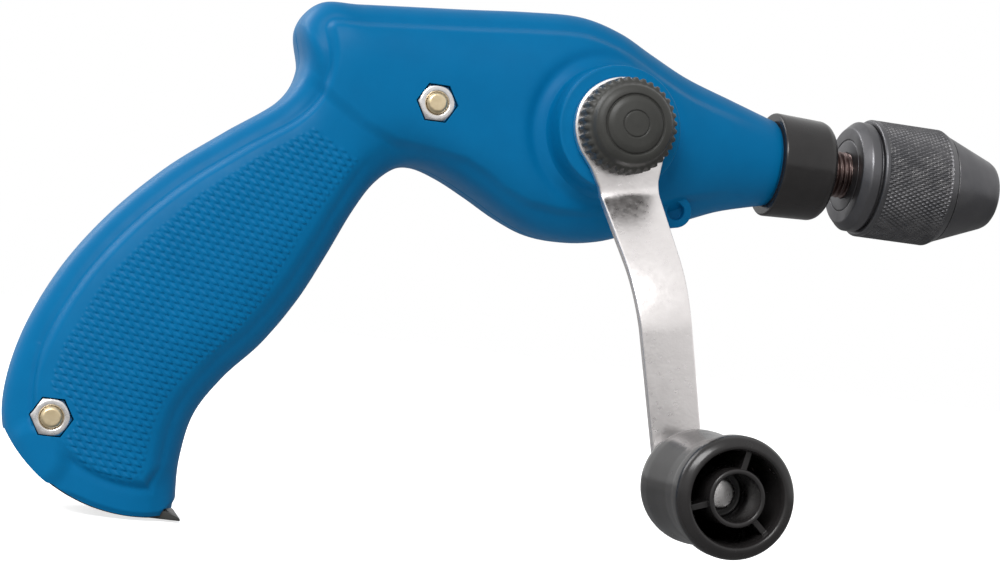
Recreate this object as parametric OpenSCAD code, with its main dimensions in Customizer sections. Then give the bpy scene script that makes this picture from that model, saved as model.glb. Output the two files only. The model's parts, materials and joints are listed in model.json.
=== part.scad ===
// Pistol-grip hand drill with enclosed gears.
// The spindle runs along X with the chuck at +X, Z is up, and Y = 0 is the parting plane
// of the two half-shells. The crank is on the -Y side. The part's origin lies on the spindle
// axis, in the middle of the length over which the open jaws grip a shank. The modules build
// each piece in a working frame whose origin is the point where the crank axis crosses the
// spindle axis, and in_frame() moves it to the part's frame.

/* [Housing] */
// Thickness of the moulded half-shells
wall = 2.4; // [2:0.1:2.8]
// Loft sections between two rungs of the housing outline
fine = 2; // [1:1:3]
// Distance from the parting plane to the face of the crank boss
boss_face = 30.2; // [29.8:0.1:30.4]
// Radius of the crank boss
boss_r = 14.5; // [13.5:0.1:15]

/* [Fasteners] */
// Radius of the two through bolts
bolt_r = 2.5; // [2.4:0.05:2.6]
// Width of the nuts across their flats
nut_flats = 8; // [7.8:0.1:8]
// Distance from the parting plane to the outer face of the upper nut
upper_nut_y = 19.4; // [19:0.1:19.6]
// Distance from the parting plane to the outer face of the lower nut
lower_nut_y = 15; // [14.8:0.1:15.2]

/* [Gears] */
// Gear module: pitch diameter over tooth count
gear_module = 1; // [0.98:0.01:1]
// Teeth of the large face gear on the crank shaft
gear_teeth = 40; // [36:1:40]
// Teeth of the pinion on the spindle
pinion_teeth = 12; // [10:2:12]
// Tooth thickness at the pitch line, as a share of the pitch
tooth_share = 0.37; // [0.33:0.01:0.38]
// Length of the teeth along the spindle
face_width = 3; // [2.8:0.1:3]

/* [Crank] */
// Radius of the crank shaft
shaft_r = 4; // [3.9:0.05:4]
// Distance from the crank axis to the handle axis
crank_radius = 79.5; // [76:0.1:82]
// Angle of the crank arm from straight down, towards the chuck
crank_angle = 12.3; // [0:0.1:20]
// Thickness of the pressed steel arm
arm_t = 2.2; // [2:0.1:2.4]
// Radius of the arm's hub disc
arm_hub_r = 11.5; // [11.2:0.1:12]
// Radius of the knurled thumb knob
knob_r = 11; // [10.5:0.1:11.3]
// Ridges round the thumb knob
knob_ridges = 36; // [24:2:40]

/* [Handle] */
// Length of the turning handle
handle_len = 36; // [34:0.5:38]
// Radius of the handle's outer flange
handle_r = 12.7; // [12:0.1:13]

/* [Chuck] */
// Radius over the knurled sleeve
sleeve_r = 14.8; // [14.6:0.05:15]
// Largest shank radius that the open jaws take
shank_r = 3.25; // [3:0.05:3.3]
// Angle between a jaw and the chuck's axis
jaw_angle = 15; // [14.8:0.1:15.2]
// Radius of a jaw's round body
jaw_r = 2.2; // [2.1:0.05:2.25]

/* [Storage door] */
// Thickness of the curved door
door_t = 2; // [1.8:0.1:2.2]
// Half width of the door
door_half = 10.4; // [10:0.1:10.6]

/* [Hidden] */

$fn = 64;
run_gap = 0.04;      // radial clearance of a shaft in its bush
seat_gap = 0.02;     // radial clearance of a part that is pressed or clamped in place
grip_x = 101.2;      // middle of the jaws' grip in the working frame
crank_axis = [0, 0];

// Stations and radii along the spindle
spindle_r = 5;
tail_r = 3;
front_bush_r = 7;
rear_bush_r = 5;
rear_bush_x = [9.5, 15.5];
pin_x = 24.9;
clip_x = [44.9, 45.7];
front_bush_x = [46, 58];
shoulder_x = 59.2;
thread_r = 5.8;
thread_pitch = 1.25;
collar_x = [47.5, 62];
chuck_x0 = 68;
ring_x1 = 72.6;
sleeve_x = [72.9, 91.2];
nut_x = [86, 91];
cone_x0 = 93.2;
nose_x = 107.4;
nose_spigot_r = 10.2;

// Half-shell rungs, from the nose round to the foot of the grip:
// back x, back z, front x, front z, half thickness, squareness of the section
rungs = [
    [47, 10.8, 47, -10.5, 10.8, 2],
    [35, 14.3, 36, -13.4, 13.2, 2.1],
    [22.5, 17.9, 26.5, -17.2, 15.8, 2.3],
    [12, 22.2, 15.5, -21.2, 18.4, 2.6],
    [3, 25.9, 5.5, -24.9, 20.6, 3],
    [-7, 28.1, -3, -26, 21.2, 3],
    [-20, 27.3, -11, -25.4, 20.8, 3],
    [-34, 25.7, -18.5, -22.6, 20.2, 3],
    [-48, 24.2, -26, -18.6, 19.8, 3],
    [-60, 22.9, -33.5, -15, 19.4, 3],
    [-68.8, 21.9, -40.5, -13, 19, 3],
    [-73, 16.2, -46, -14, 18.4, 3],
    [-71.4, 6.8, -51.2, -18.6, 17.6, 3],
    [-75.2, -1.8, -55.5, -26, 16.8, 3],
    [-87.2, -11.2, -60.3, -37, 16.2, 3],
    [-99.5, -21.2, -65.5, -47.8, 15.9, 3],
    [-111.4, -34, -72.5, -58.6, 15.7, 3],
    [-120.8, -48.2, -80.3, -67.4, 15.6, 3],
    [-127.3, -64.4, -86, -76.5, 15.6, 3],
    [-129.1, -80, -88, -86.4, 15.6, 3],
    [-124.8, -93, -88, -95, 15.6, 3],
    [-117, -104, -87, -104, 15.6, 3]
];
section_steps = 12;

// Foot of the grip: the door and the lower edge of the shells share this centre
foot_c = [-97, -64];
foot_r = 36.4;
door_r = 36.9;
door_start = -117.4;                           // behind this station the shells cover the door's edge
corner_c = [-92.2, -95.9];                     // centre of the rounded front corner
corner_r = 4.2;
hinge_r = 1;
knuckle_r = 2.1;
hinge_angle = -133.8;
hinge_c = foot_c + (door_r - knuckle_r) * [cos(hinge_angle), sin(hinge_angle)];
pin_half = 11.6;
lip_angle = -84;
lip_tip = [[-86.8, -100.9], [-86.9, -100.3], [-90.2, -98.9]];
lip_room = [-91.6, -98.4];                     // upper back corner of the lip's way out at the front

// Through bolts, and the screw boss behind the nose
upper_bolt = [-41, 0.9];
lower_bolt = [-118.1, -80.2];
front_boss = [21.2, -15.7];
front_boss_r = 4;
front_boss_y = 12.5;
bolt_boss_r = 5.6;
upper_boss_y = 18.6;
lower_boss_y = 14.6;
screw_r = 1.55;
screw_seat_y = 10.4;
nut_h = 4;
pocket_gap = 0.5;                              // added to a hexagon's flats for its pocket

// Gears
gear_pitch_r = gear_module * gear_teeth / 2;
pinion_pitch_r = gear_module * pinion_teeth / 2;
pinion_x = [for (side = [-1, 1]) gear_pitch_r + side * (face_width / 2 + 0.1)];
addendum = 0.85 * gear_module;
dedendum = 1.1 * gear_module;
tooth_w = tooth_share * PI * gear_module;
gear_outer_r = gear_pitch_r + face_width / 2;
gear_room_r = gear_outer_r + 0.7;
hub_y = -15.7;
hub_r = 8;
gear_pin_y = -13;
gear_pin_r = 1.25;
web_y = -8.4;
rim_y = -9.9;

// Crank shaft and its bushes: the left one is flanged and the right one sits in a blind boss
crank_bush_r = 6;
flange_r = 8;
flange_y = [-17.45, -15.85];
right_bush_y = [9, 17.9];
circlip_y = [7.5, 8.2];

// Crank
arm_y = boss_face + 0.5;                       // inner face of the arm's hub disc
arm_out_y = 49;                                // inner face of the arm at the handle
knob_y = arm_y + arm_t + 0.1;
shaft_flat = 3.2;                              // half width of the arm's seat on the shaft
handle_y = arm_out_y + arm_t + 0.6;
crank_dir = [sin(crank_angle), -cos(crank_angle)];
handle_c = crank_radius * crank_dir;
rivet_r = 2.5;
rivet_head_y = handle_y + handle_len - 12.5;

// Chuck
jaw_front_x = 106;
jaw_front_r = 3;
jaw_back_x = 83;
jaw_travel = 9.3;                              // along the jaw, from fully open to closed
jaw_apex = jaw_travel * sin(jaw_angle) + 0.04; // where the wedge starts, so that closed jaws just meet
shank_room_r = 3.9;
body_r = 13.15;
tail_ring_r = 9;

// ---------------------------------------------------------------- helpers

// Moves a piece from the working frame to the part's frame
module in_frame() {
    translate([-grip_x, 0, 0]) children();
}

// Cylinder along X between two stations
module along_x(x0, x1, r) {
    translate([x0, 0, 0]) rotate([0, 90, 0]) cylinder(h = x1 - x0, r = r);
}

// Cylinder along Y between two stations, centred on a point [x, z]
module along_y(c, y0, y1, r) {
    translate([c[0], y1, c[1]]) rotate([90, 0, 0]) cylinder(h = y1 - y0, r = r);
}

// Solid of revolution about X from a profile of [x, radius] points
module lathe_x(profile) {
    rotate([90, 0, 90]) rotate_extrude() polygon([for (p = profile) [p[1], p[0]]]);
}

// Solid of revolution about a line along Y through [x, z], from [y, radius] points
module lathe_y(c, profile) {
    translate([c[0], 0, c[1]]) rotate([-90, 0, 0]) rotate_extrude() polygon([for (p = profile) [p[1], p[0]]]);
}

// Ring along X
module ring_x(x0, x1, r_out, r_in) {
    difference() {
        along_x(x0, x1, r_out);
        along_x(x0 - 1, x1 + 1, r_in);
    }
}

// Ring along Y
module ring_y(c, y0, y1, r_out, r_in) {
    difference() {
        along_y(c, y0, y1, r_out);
        along_y(c, y0 - 1, y1 + 1, r_in);
    }
}

// Plate in the XZ plane between two stations of Y
module plate_y(y0, y1) {
    translate([0, y1, 0]) rotate([90, 0, 0]) linear_extrude(y1 - y0) children();
}

// Hexagonal prism along Y, with corners pointing along X
module hex_y(c, y0, y1, flats) {
    translate([c[0], y1, c[1]]) rotate([90, 0, 0]) cylinder(h = y1 - y0, r = flats / sqrt(3), $fn = 6);
}

// ---------------------------------------------------------------- housing

function row(i) = rungs[max(0, min(len(rungs) - 1, i))];
function blend(a, b, c, d, t) =
    0.5 * (2 * b + (c - a) * t + (2 * a - 5 * b + 4 * c - d) * t * t + (3 * b - 3 * c + d - a) * t * t * t);
stations = concat(
    [for (i = [0 : len(rungs) - 2]) for (k = [0 : fine - 1])
        blend(row(i - 1), row(i), row(i + 1), row(i + 2), k / fine)],
    [rungs[len(rungs) - 1]]
);

function power(x, n) = x <= 0 ? 0 : pow(x, n);

// Point of a half section at an angle from 0 (back edge) to 180 (front edge)
function section_point(s, inset, a) =
    let (back = [s[0], s[1]], front = [s[2], s[3]], mid = (back + front) / 2)
    let (half = norm(back - front) / 2, u = (back - front) / (2 * half))
    let (v = (half - inset) * sign(cos(a)) * power(abs(cos(a)), 2 / s[5]))
    let (y = -(s[4] - inset) * power(sin(a), 2 / s[5]))
    [mid[0] + u[0] * v, y, mid[1] + u[1] * v];

function section_ring(s) = concat(
    [for (k = [0 : section_steps]) section_point(s, 0, 180 * k / section_steps)],
    [for (k = [section_steps : -1 : 0]) section_point(s, wall, 180 * k / section_steps)]
);

// The -Y half-shell without its foot cut, bosses or bores
module raw_shell() {
    ring = 2 * (section_steps + 1);
    count = len(stations);
    points = [for (s = stations) each section_ring(s)];
    sides = [for (i = [0 : count - 2]) for (k = [0 : ring - 1])
        let (a = i * ring + k, b = i * ring + (k + 1) % ring)
        each [[a, b, b + ring], [a, b + ring, a + ring]]];
    last = (count - 1) * ring;
    ends = [for (k = [0 : section_steps - 1]) let (a = k, b = k + 1, c = ring - 2 - k, d = ring - 1 - k)
        each [[a, d, c], [a, c, b], [last + a, last + b, last + c], [last + a, last + c, last + d]]];
    polyhedron(points, concat(sides, ends), convexity = 8);
}

// Everything outside the foot's arc and its rounded front corner, to be cut from the shells
module foot_cut() {
    difference() {
        translate([foot_c[0] - 50, -40, foot_c[1] - 60]) cube([80, 80, 40]);
        along_y(foot_c, -41, 41, foot_r);
        intersection() {
            along_y(foot_c, -41, 41, door_r + 0.05);
            translate([door_start - 30, -41, -120]) cube([30, 82, 50]);
        }
    }
    difference() {
        translate([corner_c[0], -40, corner_c[1] - 20]) cube([20, 80, 20]);
        along_y(corner_c, -41, 41, corner_r);
    }
}

// Room for the door, its knuckle and its lip, between the side walls of the shells
module door_space() {
    half = door_half + 0.3;
    intersection() {
        ring_y(foot_c, -half, half, foot_r + 3, door_r - door_t - 0.3);
        translate([hinge_c[0] - 1, -20, -110]) cube([lip_room[0] - hinge_c[0] + 1, 40, 40]);
    }
    translate([lip_room[0] - 0.01, -half, lip_room[1] - 10]) cube([10, 2 * half, 10]);
    along_y(hinge_c, -half, half, knuckle_r + 0.4);
}

// Hex pocket and through hole for one bolt, on the nut's side
module nut_side_cut(c, nut_y) {
    hex_y(c, -nut_y - 6, -nut_y + nut_h, nut_flats + pocket_gap);
    along_y(c, -nut_y - 1, 1, bolt_r + 0.1);
}

// Hex pocket and through hole for one bolt, on the head's side
module head_side_cut(c, head_y) {
    hex_y(c, head_y - nut_h, head_y + 6, nut_flats + pocket_gap);
    along_y(c, -1, head_y + 1, bolt_r + 0.1);
}

// Half of the spigot at the nose, which carries the front bush and takes the collar
module nose_seat() {
    intersection() {
        ring_x(front_bush_x[0] - 2, front_bush_x[1], nose_spigot_r, front_bush_r);
        translate([40, -20, -20]) cube([30, 20, 40]);
    }
}

// The -Y half-shell, on the crank's side
module housing_left() {
    in_frame() color("steelblue")
    difference() {
        union() {
            raw_shell();
            nose_seat();
            along_y(upper_bolt, -upper_boss_y, 0, bolt_boss_r);
            along_y(lower_bolt, -lower_boss_y, 0, bolt_boss_r - 1);
            along_y(front_boss, -front_boss_y, 0, front_boss_r);
            lathe_y(crank_axis, [[-17.5, 0], [-17.5, 10], [-19.5, boss_r + 1.5], [-22.5, boss_r + 0.6],
                [-boss_face + 0.8, boss_r], [-boss_face, boss_r - 0.8], [-boss_face, 0]]);
        }
        foot_cut();
        door_space();
        nut_side_cut(upper_bolt, upper_nut_y);
        nut_side_cut(lower_bolt, lower_nut_y);
        along_y(crank_axis, -boss_face - 1, flange_y[1], crank_bush_r);
        along_y(crank_axis, flange_y[0] - 0.05, 0, flange_r + 0.3);
        along_y(crank_axis, rim_y - 0.6, 0, gear_room_r);
        along_y(front_boss, -7, 1, screw_r + 0.05);
        along_y(front_boss, -front_boss_y - 1, -front_boss_y + 2, 2.1);
        along_y(hinge_c, -pin_half - 0.2, 1, hinge_r + 0.05);
    }
}

// The +Y half-shell, which also carries the rear bearing of the spindle
module housing_right() {
    in_frame() color("steelblue")
    difference() {
        union() {
            mirror([0, 1, 0]) raw_shell();
            mirror([0, 1, 0]) nose_seat();
            along_y(upper_bolt, 0, upper_boss_y, bolt_boss_r);
            along_y(lower_bolt, 0, lower_boss_y, bolt_boss_r - 1);
            along_y(front_boss, 0, front_boss_y, front_boss_r);
            along_y(crank_axis, right_bush_y[0], right_bush_y[1] + 1.6, crank_bush_r + 3);
            translate([rear_bush_x[0], -6.8, -6.8]) cube([rear_bush_x[1] - rear_bush_x[0], 23.6, 13.6]);
        }
        foot_cut();
        door_space();
        head_side_cut(upper_bolt, upper_nut_y);
        head_side_cut(lower_bolt, lower_nut_y);
        along_y(crank_axis, right_bush_y[0] - 1, right_bush_y[1] + 0.1, crank_bush_r);
        along_x(rear_bush_x[0] - 1, rear_bush_x[1] + 1, rear_bush_r);
        along_y(front_boss, -1, front_boss_y, screw_r + 0.35);
        along_y(front_boss, screw_seat_y - 0.1, front_boss_y + 1, 3.4);
        along_y(hinge_c, -1, pin_half + 0.2, hinge_r + 0.05);
    }
}

// Black ring that clamps the two shells together at the nose
module nose_collar() {
    in_frame() color("dimgray")
    lathe_x([[collar_x[0], nose_spigot_r + seat_gap], [collar_x[0], 12.5], [collar_x[0] + 0.4, 12.9],
        [collar_x[1] - 2.2, 12.45], [collar_x[1] - 1.1, 12], [collar_x[1] - 0.3, 11.2],
        [collar_x[1], 10], [collar_x[1], 6.3], [59.2, 6.3], [59.2, 9], [58.1, 9],
        [58.1, nose_spigot_r + seat_gap]]);
}

// One through bolt with a hexagon head in the +Y shell
module through_bolt(c, nut_y) {
    along_y(c, -nut_y - 0.6, nut_y - nut_h + 0.5, bolt_r - seat_gap);
    hex_y(c, nut_y - nut_h + 0.05, nut_y - 0.3, nut_flats);
}

module housing_bolts() {
    in_frame() color("khaki") {
        through_bolt(upper_bolt, upper_nut_y);
        through_bolt(lower_bolt, lower_nut_y);
    }
}

// One nut with a turned chamfer on its outer face
module hex_nut(c, nut_y) {
    difference() {
        intersection() {
            hex_y(c, -nut_y, -nut_y + nut_h - 0.05, nut_flats);
            lathe_y(c, [[-nut_y + nut_h, 0], [-nut_y + nut_h, 5], [-nut_y + 0.5, 5],
                [-nut_y, 4.1], [-nut_y, 0]]);
        }
        along_y(c, -nut_y - 1, -nut_y + nut_h + 1, bolt_r);
    }
}

module housing_nuts() {
    in_frame() color("gainsboro") {
        hex_nut(upper_bolt, upper_nut_y);
        hex_nut(lower_bolt, lower_nut_y);
    }
}

// Cheese-head screw from the +Y side into the boss behind the nose
module front_screw() {
    in_frame() color("silver") {
        along_y(front_boss, -6.5, screw_seat_y, screw_r);
        lathe_y(front_boss, [[screw_seat_y, 0], [screw_seat_y, 3.2], [screw_seat_y + 1, 3],
            [screw_seat_y + 1.6, 2], [screw_seat_y + 1.8, 0]]);
    }
}

// ---------------------------------------------------------------- bearings

module spindle_front_bush() {
    in_frame() color("peru")
    ring_x(front_bush_x[0], front_bush_x[1], front_bush_r - seat_gap, spindle_r + run_gap);
}

module spindle_rear_bush() {
    in_frame() color("peru")
    ring_x(rear_bush_x[0], rear_bush_x[1], rear_bush_r - seat_gap, tail_r + run_gap);
}

// Takes the push of the drill between the spindle's shoulder and the front bush
module spindle_thrust_washer() {
    in_frame() color("silver")
    ring_x(front_bush_x[1] + 0.1, shoulder_x - 0.1, 8.9, spindle_r + 0.1);
}

module crank_bush_left() {
    in_frame() color("peru")
    difference() {
        union() {
            along_y(crank_axis, -boss_face, flange_y[1], crank_bush_r - seat_gap);
            along_y(crank_axis, flange_y[0], flange_y[1], flange_r);
        }
        along_y(crank_axis, -boss_face - 1, 0, shaft_r + run_gap);
    }
}

module crank_bush_right() {
    in_frame() color("peru")
    ring_y(crank_axis, right_bush_y[0], right_bush_y[1], crank_bush_r - seat_gap, shaft_r + run_gap);
}

// ---------------------------------------------------------------- storage door

function foot_point(r, a) = foot_c + r * [cos(a), sin(a)];

// Curved flap that closes the foot of the grip, hinged at the back, with a thumb lip in front
module storage_door() {
    in_frame() color("darkslategray")
    difference() {
        union() {
            intersection() {
                ring_y(foot_c, -door_half, door_half, door_r, door_r - door_t);
                plate_y(-door_half, door_half)
                    polygon(concat([foot_c], [for (a = [hinge_angle, -110, lip_angle]) foot_point(60, a)]));
            }
            plate_y(-door_half, door_half)
                polygon(concat([foot_point(door_r - door_t, lip_angle - 1),
                    foot_point(door_r, lip_angle - 1)], lip_tip));
            along_y(hinge_c, -door_half, door_half, knuckle_r);
        }
        along_y(hinge_c, -door_half - 1, door_half + 1, hinge_r + run_gap);
    }
}

module door_hinge_pin() {
    in_frame() color("silver") along_y(hinge_c, -pin_half, pin_half, hinge_r);
}

// ---------------------------------------------------------------- spindle and pinion

module spindle() {
    in_frame() color("rosybrown")
    difference() {
        union() {
            along_x(rear_bush_x[0] - 1, 28, tail_r);
            along_x(27.9, shoulder_x, spindle_r);
            lathe_x(concat([[shoulder_x, 0], [shoulder_x, thread_r]],
                [for (x = [62.2 : thread_pitch : 79])
                    each [[x, thread_r], [x + thread_pitch / 2, thread_r - 0.6]]],
                [[80, thread_r], [80, 0]]));
        }
        along_y([pin_x, 0], -6, 6, 1);
        ring_x(clip_x[0] - 0.05, clip_x[1] + 0.05, 6, spindle_r - 0.6);
    }
}

// Points of one pinion tooth, from root to root: a trapezoid with a bend at the pitch line
function pinion_tooth(i) =
    let (step = 360 / pinion_teeth, half = tooth_w / pinion_pitch_r * 90 / PI)
    [for (p = [[-1.5, pinion_pitch_r - dedendum], [-1, pinion_pitch_r], [-0.45, pinion_pitch_r + addendum],
               [0.45, pinion_pitch_r + addendum], [1, pinion_pitch_r], [1.5, pinion_pitch_r - dedendum]])
        p[1] * [cos(i * step + p[0] * half), sin(i * step + p[0] * half)]];

module pinion() {
    in_frame() color("silver")
    difference() {
        union() {
            translate([pinion_x[0], 0, 0]) rotate([90, 0, 90]) linear_extrude(pinion_x[1] - pinion_x[0])
                polygon([for (i = [0 : pinion_teeth - 1]) each pinion_tooth(i + 0.5)]);
            along_x(pinion_x[1], 27.6, 5);
        }
        along_x(pinion_x[0] - 1, 28, tail_r + seat_gap);
        along_y([pin_x, 0], -6, 6, 1);
    }
}

module pinion_pin() {
    in_frame() color("darkgray") along_y([pin_x, 0], -4.9, 4.9, 1 - seat_gap);
}

// Spring clip behind the front bush, which stops the spindle from pulling out
module spindle_circlip() {
    in_frame() color("dimgray")
    difference() {
        ring_x(clip_x[0], clip_x[1], 6.4, 4.45);
        translate([clip_x[0] - 1, -1.5, 0]) cube([3, 3, 10]);
    }
}

// ---------------------------------------------------------------- chuck

// Radius of a jaw's axis at a station, with the jaws open
function jaw_axis_r(x) = jaw_front_r + (jaw_front_x - x) * tan(jaw_angle);

// Round bar on a jaw's axis between two stations, for the jaw at an angle round the chuck
module jaw_bar(turn, x0, x1, r) {
    rotate([turn, 0, 0]) translate([x0, 0, jaw_axis_r(x0)]) rotate([0, 90 + jaw_angle, 0])
        cylinder(h = (x1 - x0) / cos(jaw_angle), r = r);
}

module chuck_body() {
    in_frame() color("slategray")
    difference() {
        lathe_x([[chuck_x0 + 0.3, 0], [chuck_x0 + 0.3, tail_ring_r], [ring_x1, tail_ring_r], [ring_x1, body_r],
            [nut_x[0] - 0.4, body_r], [nut_x[0] - 0.4, 9.2], [nut_x[1] + 0.4, 9.2], [nut_x[1] + 0.4, body_r],
            [cone_x0, body_r], [cone_x0, 13.7], [nose_x - 1.6, 8.8], [nose_x - 0.6, 8.2], [nose_x, 7.4],
            [nose_x, 0]]);
        along_x(chuck_x0, 81, thread_r + seat_gap);
        along_x(80, nose_x + 1, shank_room_r);
        for (turn = [0, 120, 240]) jaw_bar(turn, 76, nose_x + 3, jaw_r + run_gap);
    }
}

module chuck_rear_ring() {
    in_frame() color("dimgray")
    lathe_x([[chuck_x0, tail_ring_r + seat_gap], [chuck_x0, 12], [chuck_x0 + 1.7, 13.6], [chuck_x0 + 2, 13.8],
        [ring_x1 - 0.5, 13.8], [ring_x1, 13.4], [ring_x1, tail_ring_r + seat_gap]]);
}

// Knurled sleeve that turns the nut and so drives the jaws
module chuck_sleeve() {
    in_frame() color("dimgray")
    lathe_x([[sleeve_x[0], body_r + 0.05], [sleeve_x[0], sleeve_r - 0.3], [sleeve_x[0] + 0.3, sleeve_r],
        [sleeve_x[1], sleeve_r], [cone_x0 - 0.2, 13.8], [cone_x0 - 0.2, body_r + 0.05]]);
}

// Radius just outside the jaws at a station, the same for open and closed jaws
function jaw_outer_r(x) = jaw_axis_r(x) + jaw_r / cos(jaw_angle) + 0.06;

// Ring nut pressed into the sleeve, conical inside where it runs over the jaws
module chuck_nut() {
    in_frame() color("gray")
    lathe_x([for (p = [[0, 0], [0, 1], [1, 1], [1, 0]])
        [nut_x[p[0]], p[1] == 1 ? body_r + 0.03 : jaw_outer_r(nut_x[p[0]])]]);
}

// One jaw: a round bar ground to a blunt wedge, with a gripping face parallel to the axis
module jaw(turn) {
    in_frame() color("darkgray")
    difference() {
        intersection() {
            jaw_bar(turn, jaw_back_x, nose_x + 3, jaw_r);
            along_x(jaw_back_x - 3, jaw_front_x, 14);
            rotate([turn, 0, 0]) translate([jaw_back_x - 4, 0, jaw_apex])
                rotate([90, 0, 90]) linear_extrude(30)
                    polygon([[0, 0], [12 * tan(60), 12], [-12 * tan(60), 12]]);
        }
        along_x(jaw_back_x - 5, nose_x + 1, shank_r + 0.05);
    }
}

module chuck_jaw_1() { jaw(0); }
module chuck_jaw_2() { jaw(120); }
module chuck_jaw_3() { jaw(240); }

// ---------------------------------------------------------------- crank shaft and gear

module crank_shaft() {
    in_frame() color("silver")
    difference() {
        along_y(crank_axis, -knob_y - 7, right_bush_y[1] - 0.4, shaft_r);
        for (side = [-1, 1])
            translate([side * (shaft_flat + 5) - 5, -arm_y - arm_t, -10]) cube([10, arm_t, 20]);
        ring_y(crank_axis, circlip_y[0] - 0.1, circlip_y[1] + 0.1, shaft_r + 1, shaft_r - 0.6);
        translate([0, gear_pin_y, -6]) cylinder(h = 12, r = gear_pin_r);
    }
}

// Section of a face gear tooth, thinner at its tip
module face_tooth() {
    tip = 0.3 * tooth_w;
    root = 0.75 * tooth_w;
    rotate(-90) polygon([[-root, -dedendum - 0.2], [-tooth_w / 2, 0], [-tip, addendum], [tip, addendum],
        [tooth_w / 2, 0], [root, -dedendum - 0.2]]);
}

module main_gear() {
    rim_face = -pinion_pitch_r - dedendum;
    in_frame() color("slategray")
    difference() {
        union() {
            ring_y(crank_axis, rim_y, rim_face, gear_outer_r, gear_outer_r - face_width - 1.5);
            along_y(crank_axis, rim_y, web_y, gear_outer_r - face_width - 1);
            along_y(crank_axis, hub_y, web_y + 0.6, hub_r);
            for (i = [0 : gear_teeth - 1]) rotate([0, i * 360 / gear_teeth, 0])
                translate([gear_pitch_r - face_width / 2, -pinion_pitch_r, 0])
                    rotate([90, 0, 90]) linear_extrude(face_width) face_tooth();
        }
        along_y(crank_axis, hub_y - 1, 0, shaft_r + seat_gap);
        translate([0, gear_pin_y, -hub_r - 1]) cylinder(h = 2 * hub_r + 2, r = gear_pin_r);
        for (i = [0 : 4]) rotate([0, 36 + i * 72, 0]) along_y([13.3, 0], rim_y - 1, 0, 3.2);
    }
}

module gear_pin() {
    in_frame() color("darkgray")
    translate([0, gear_pin_y, -hub_r + 0.1]) cylinder(h = 2 * hub_r - 0.2, r = gear_pin_r - seat_gap);
}

module shaft_washer() {
    in_frame() color("silver")
    ring_y(crank_axis, circlip_y[1] + 0.2, right_bush_y[0] - 0.05, 7, shaft_r + 0.1);
}

// Spring clip in the shaft's groove, open on one side
module shaft_circlip() {
    in_frame() color("dimgray")
    difference() {
        ring_y(crank_axis, circlip_y[0], circlip_y[1], shaft_r + 1.6, shaft_r - 0.55);
        translate([-1.5, circlip_y[0] - 0.5, 0]) cube([3, 2, 10]);
    }
}

// ---------------------------------------------------------------- crank arm, knob and handle

function arc_points(c, r, a0, a1, n) =
    [for (k = [0 : n]) let (a = a0 + (a1 - a0) * k / n) c + r * [cos(a), sin(a)]];

// The arm leaves the hub flat, bends out at arm_slope and sweeps back to flat at the handle.
// Its side view is drawn as [distance along the arm, distance out from the parting plane].
arm_slope = 40;
bend_start = 14;
bend_r = 3.5;
sweep_r = 24;
bend_c = [bend_start, arm_y + arm_t + bend_r];
bend_end = bend_c + (bend_r + arm_t) * [sin(arm_slope), -cos(arm_slope)];
sweep_rise = sweep_r * (1 - cos(arm_slope));
slope_rise = arm_out_y - sweep_rise - bend_end[1];
slope_end = bend_end + slope_rise * [1 / tan(arm_slope), 1];
sweep_c = slope_end + sweep_r * [sin(arm_slope), -cos(arm_slope)];

module arm_side_view() {
    polygon(concat(
        [[-arm_hub_r - 1, arm_y]],
        arc_points(bend_c, bend_r + arm_t, -90, arm_slope - 90, 8),
        arc_points(sweep_c, sweep_r, 90 + arm_slope, 90, 12),
        [[crank_radius + 9, arm_out_y], [crank_radius + 9, arm_out_y + arm_t]],
        arc_points(sweep_c, sweep_r + arm_t, 90, 90 + arm_slope, 12),
        arc_points(bend_c, bend_r, arm_slope - 90, -90, 8),
        [[-arm_hub_r - 1, arm_y + arm_t]]
    ));
}

// Front view of the arm, with the hub at the origin and the handle end along +X
module arm_front_view() {
    circle(r = arm_hub_r);
    polygon([[0, -arm_hub_r], [4, -10.9], [8.5, -8.6], [13, -7.1], [17, -6.8], [30, -6.3], [45, -5.9],
        [crank_radius, -5.6], [crank_radius, 5.6], [45, 5.9], [30, 6.3], [17, 6.8], [13, 7.1], [8.5, 8.6],
        [4, 10.9], [0, arm_hub_r]]);
    translate([crank_radius, 0]) circle(r = 6.6);
}

module crank_arm() {
    in_frame() color("whitesmoke")
    rotate([0, 90 - crank_angle, 0])
    difference() {
        intersection() {
            translate([0, 0, -20]) linear_extrude(40) mirror([0, 1]) arm_side_view();
            plate_y(-60, -20) arm_front_view();
        }
        intersection() {
            along_y(crank_axis, -60, -20, shaft_r + seat_gap);
            rotate([0, crank_angle - 90, 0])
                translate([-shaft_flat - seat_gap, -60, -10]) cube([2 * (shaft_flat + seat_gap), 40, 20]);
        }
        along_y([crank_radius, 0], -60, -20, rivet_r + seat_gap);
    }
}

// Thumb knob that screws on to the crank shaft and holds the arm
module crank_knob() {
    in_frame() color("dimgray")
    difference() {
        lathe_y(crank_axis, [[-knob_y, 0], [-knob_y, knob_r - 0.3], [-knob_y - 0.3, knob_r],
            [-knob_y - 5.4, knob_r], [-knob_y - 6, knob_r - 0.6], [-knob_y - 6.4, 9.4],
            [-knob_y - 8.2, 8.7], [-knob_y - 8.8, 7.6], [-knob_y - 8.9, 6.9], [-knob_y - 8.5, 6.7],
            [-knob_y - 8.9, 6.5], [-knob_y - 9.5, 5.6], [-knob_y - 9.9, 3.2], [-knob_y - 9.6, 3],
            [-knob_y - 9.9, 2.8], [-knob_y - 10, 0]]);
        for (i = [0 : knob_ridges - 1]) rotate([0, i * 360 / knob_ridges, 0])
            along_y([knob_r + 0.25, 0], -knob_y - 7, -knob_y + 1, 0.62);
        along_y(crank_axis, -knob_y - 7.3, -knob_y + 1, shaft_r + seat_gap);
    }
}

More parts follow.
